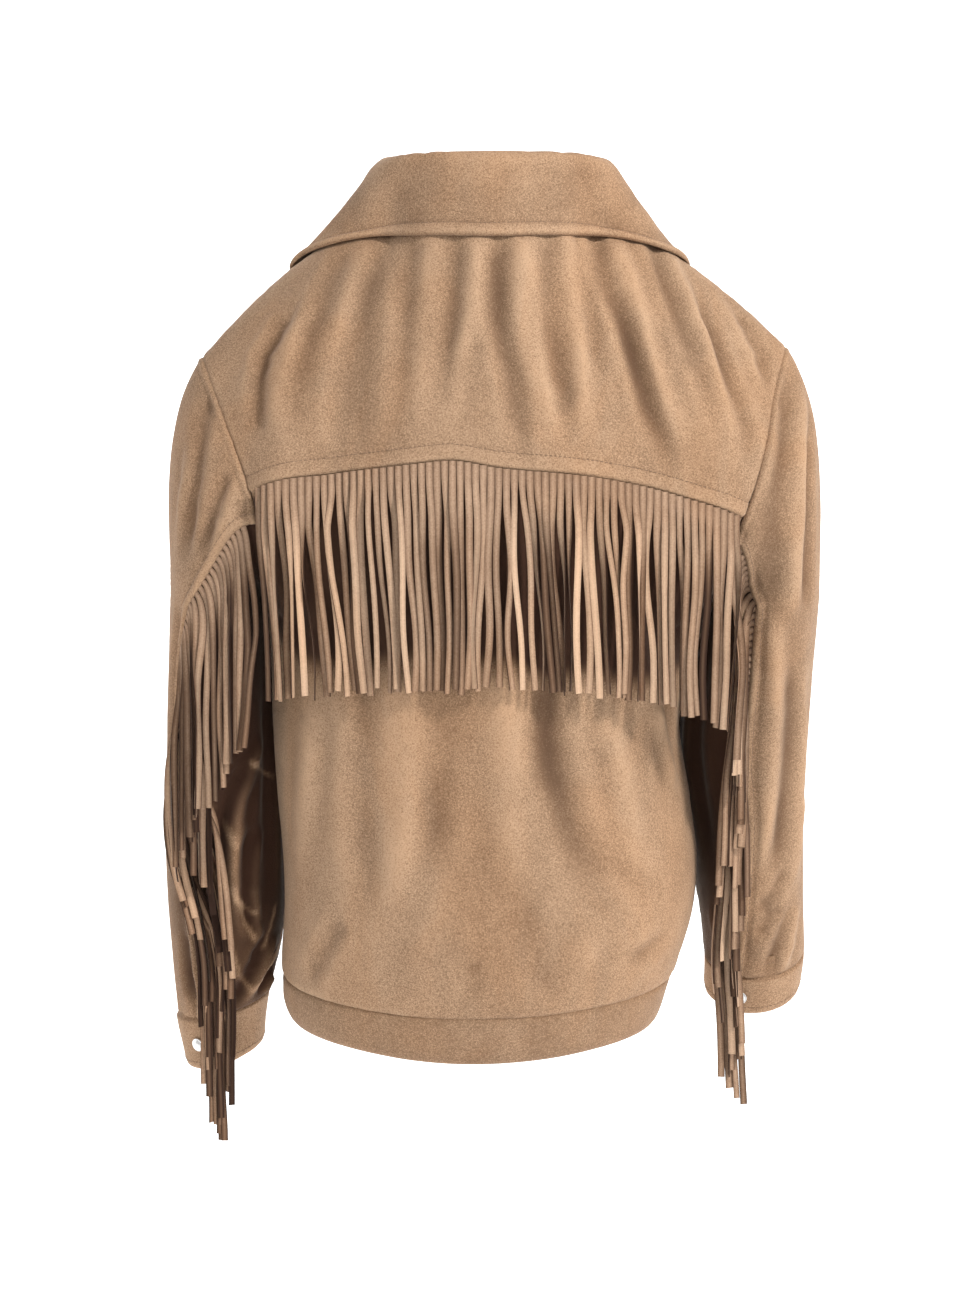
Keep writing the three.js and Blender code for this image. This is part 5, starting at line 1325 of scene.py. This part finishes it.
# ------------------------------------------------------------------ snap caps, each where its CAD node is
def snap_cap(node):
    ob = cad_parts[node]
    co = np.array([v.co for v in ob.data.vertices]) * 1000
    u, inv = np.unique(np.round(co, 3), axis=0, return_inverse=True)
    ctr = (u.min(0) + u.max(0)) / 2
    cov = np.linalg.svd(u - u.mean(0))[2]
    axis = cov[2]
    hgt = (u - u.mean(0)) @ axis
    top, low = u[hgt > hgt.max() - 0.05], u[hgt < hgt.min() + 0.05]
    if len(top) > len(low):
        axis, top, low, hgt = -axis, low, top, -hgt
    base = u[hgt < hgt.min() + 0.05].mean(0)
    a = unit(np.cross(axis, [0, 0, 1.0]))
    b = np.cross(axis, a)
    prof = [(0, 0), (5.3, 0), (5.5, 0.25), (5.5, 0.6), (5.2, 0.85), (4.6, 0.8), (4.35, 0.72), (4.1, 0.9), (3.6, 1.45),
            (2.7, 1.85), (1.5, 2.1), (0.6, 2.17), (0, 2.18)]
    seg = 40
    verts, quads, tris = [base + axis * prof[0][1]], [], []
    for r, z in prof[1:-1]:
        for j in range(seg):
            an = 2 * math.pi * j / seg
            verts.append(base + axis * z + a * r * math.cos(an) + b * r * math.sin(an))
    verts.append(base + axis * prof[-1][1])
    m = len(prof) - 2
    for i in range(m - 1):
        for j in range(seg):
            j2 = (j + 1) % seg
            quads.append([1 + i * seg + j, 1 + i * seg + j2, 1 + (i + 1) * seg + j2, 1 + (i + 1) * seg + j])
    for j in range(seg):
        j2 = (j + 1) % seg
        tris.append([0, 1 + j2, 1 + j])
        tris.append([len(verts) - 1, 1 + (m - 1) * seg + j, 1 + (m - 1) * seg + j2])
    return make_mesh(node + "_cap", np.array(verts), quads, SNAP_MAT, tris=tris)


for node in [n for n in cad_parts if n.endswith("_snap") or n.startswith("front_snap")]:
    PIECES[node] = snap_cap(node)

# ------------------------------------------------------------------ ride, replace, and list the sheets
for key, ob in PIECES.items():
    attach(ob, "root")
    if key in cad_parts:
        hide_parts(key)

SHEETS = [
    ("back_yoke", (0.52, 0.25), "hung", [], 0.100),
    ("back_body", (0.50, 0.45), "hung", ["yoke_cloth"], 0.187),
    ("front_left", (0.31, 0.66), "hung", ["yoke_cloth"], 0.146),
    ("front_right", (0.31, 0.66), "hung", ["yoke_cloth"], 0.148),
    ("hem_band", (0.95, 0.0385), "hung", ["back_cloth"], None),
    ("sleeve_left_upper", (0.46, 0.56), "hung", ["yoke_cloth"], 0.117),
    ("sleeve_right_upper", (0.48, 0.52), "hung", ["yoke_cloth"], 0.128),
    ("sleeve_left_under", (0.135, 0.455), "hung", ["back_cloth"], 0.0445),
    ("sleeve_right_under", (0.095, 0.40), "hung", ["back_cloth"], 0.0265),
    ("cuff_left", (0.265, 0.062), "hung", ["sleeve_left_upper_cloth"], None),
    ("cuff_right", (0.27, 0.0505), "hung", ["sleeve_right_upper_cloth"], None),
    ("collar", (0.62, 0.12), "folded", ["yoke_cloth"], None),
    ("back_fringe", (0.385, 0.170), "hung", ["yoke_cloth"], None),
    ("sleeve_left_fringe", (0.385, 0.171), "hung", ["sleeve_left_upper_cloth"], None),
    ("sleeve_right_fringe", (0.32, 0.171), "hung", ["sleeve_right_upper_cloth"], None),
]


for key, flat, held, rests, area in SHEETS:
    extra = [PIECES[k2].name for k2 in PIECES if k2 == "sewing_" + key]

# ------------------------------------------------------------------ studio
def stage_bowl():
    prof = [(0, 0)]
    prof += [(7.0 * t, 0) for t in (0.1, 0.3, 0.6, 1.0)]
    prof += [(7.0 + 4.0 * math.sin(a), 4.0 * (1 - math.cos(a))) for a in np.linspace(0.1, math.pi / 2, 14)]
    prof += [(11.0, z) for z in (5.5, 7.5, 9.5)]
    seg = 96
    verts, quads, tris = [(0, 0, -1.0)], [], []
    for r, z in prof[1:]:
        for j in range(seg):
            a = 2 * math.pi * j / seg
            verts.append((r * math.cos(a), r * math.sin(a), z - 1.0))
    for i in range(len(prof) - 2):
        for j in range(seg):
            j2 = (j + 1) % seg
            quads.append([1 + i * seg + j, 1 + (i + 1) * seg + j, 1 + (i + 1) * seg + j2, 1 + i * seg + j2])
    for j in range(seg):
        tris.append([0, 1 + j, 1 + (j + 1) % seg])
    # pale everywhere, and lit from within behind the jacket, as a light table and a lit backdrop are
    m, nt, bsdf = material("studio_white")
    bsdf.inputs["Base Color"].default_value = (0.8, 0.8, 0.8, 1)
    bsdf.inputs["Roughness"].default_value = 1.0
    bsdf.inputs["Emission Color"].default_value = (1, 1, 1, 1)
    co = nt.nodes.new("ShaderNodeTexCoord").outputs["Object"]
    sep = nt.nodes.new("ShaderNodeSeparateXYZ")
    link(nt, co, sep.inputs[0])
    link(nt, remap(nt, sep.outputs["Y"], 0.9, -0.1, 0.16, 1.05), bsdf.inputs["Emission Strength"])
    return make_mesh("studio_floor", np.array(verts) * 1000, quads, m, tris=tris)


stage_bowl()
world = bpy.data.worlds.new("studio")
bpy.context.scene.world = world
world.use_nodes = True
world.node_tree.nodes["Background"].inputs["Color"].default_value = (1, 1, 1, 1)
world.node_tree.nodes["Background"].inputs["Strength"].default_value = 0.26


def area_light(name, loc, target, size, power, colour=(1, 1, 1)):
    d = bpy.data.lights.new(name, "AREA")
    d.shape = "DISK"
    d.size = size
    d.energy = power
    d.color = colour
    o = bpy.data.objects.new(name, d)
    o.location = loc
    o.rotation_euler = (Vector(target) - Vector(loc)).to_track_quat("-Z", "Y").to_euler()
    bpy.context.scene.collection.objects.link(o)
    return o


area_light("key", (-1.95, 2.05, 2.05), (0, 0, -0.3), 0.55, 128, (1.0, 0.972, 0.945))
area_light("fill", (-0.5, 3.3, 1.0), (0, 0, -0.35), 1.6, 13, (1.0, 0.985, 0.97))

cam = bpy.data.cameras.new("camera")
cam.sensor_width = 36
cam.lens = 36 * CAM_F / 1306
cam.clip_end = 60
co = bpy.data.objects.new("camera", cam)
co.location = tuple(CAM / 1000)
co.rotation_euler = Vector(LOOK).to_track_quat("-Z", "Y").to_euler()
bpy.context.scene.collection.objects.link(co)
bpy.context.scene.camera = co
bpy.context.scene.view_settings.view_transform = "Standard"
bpy.context.scene.view_settings.look = "None"

bpy.context.view_layer.update()
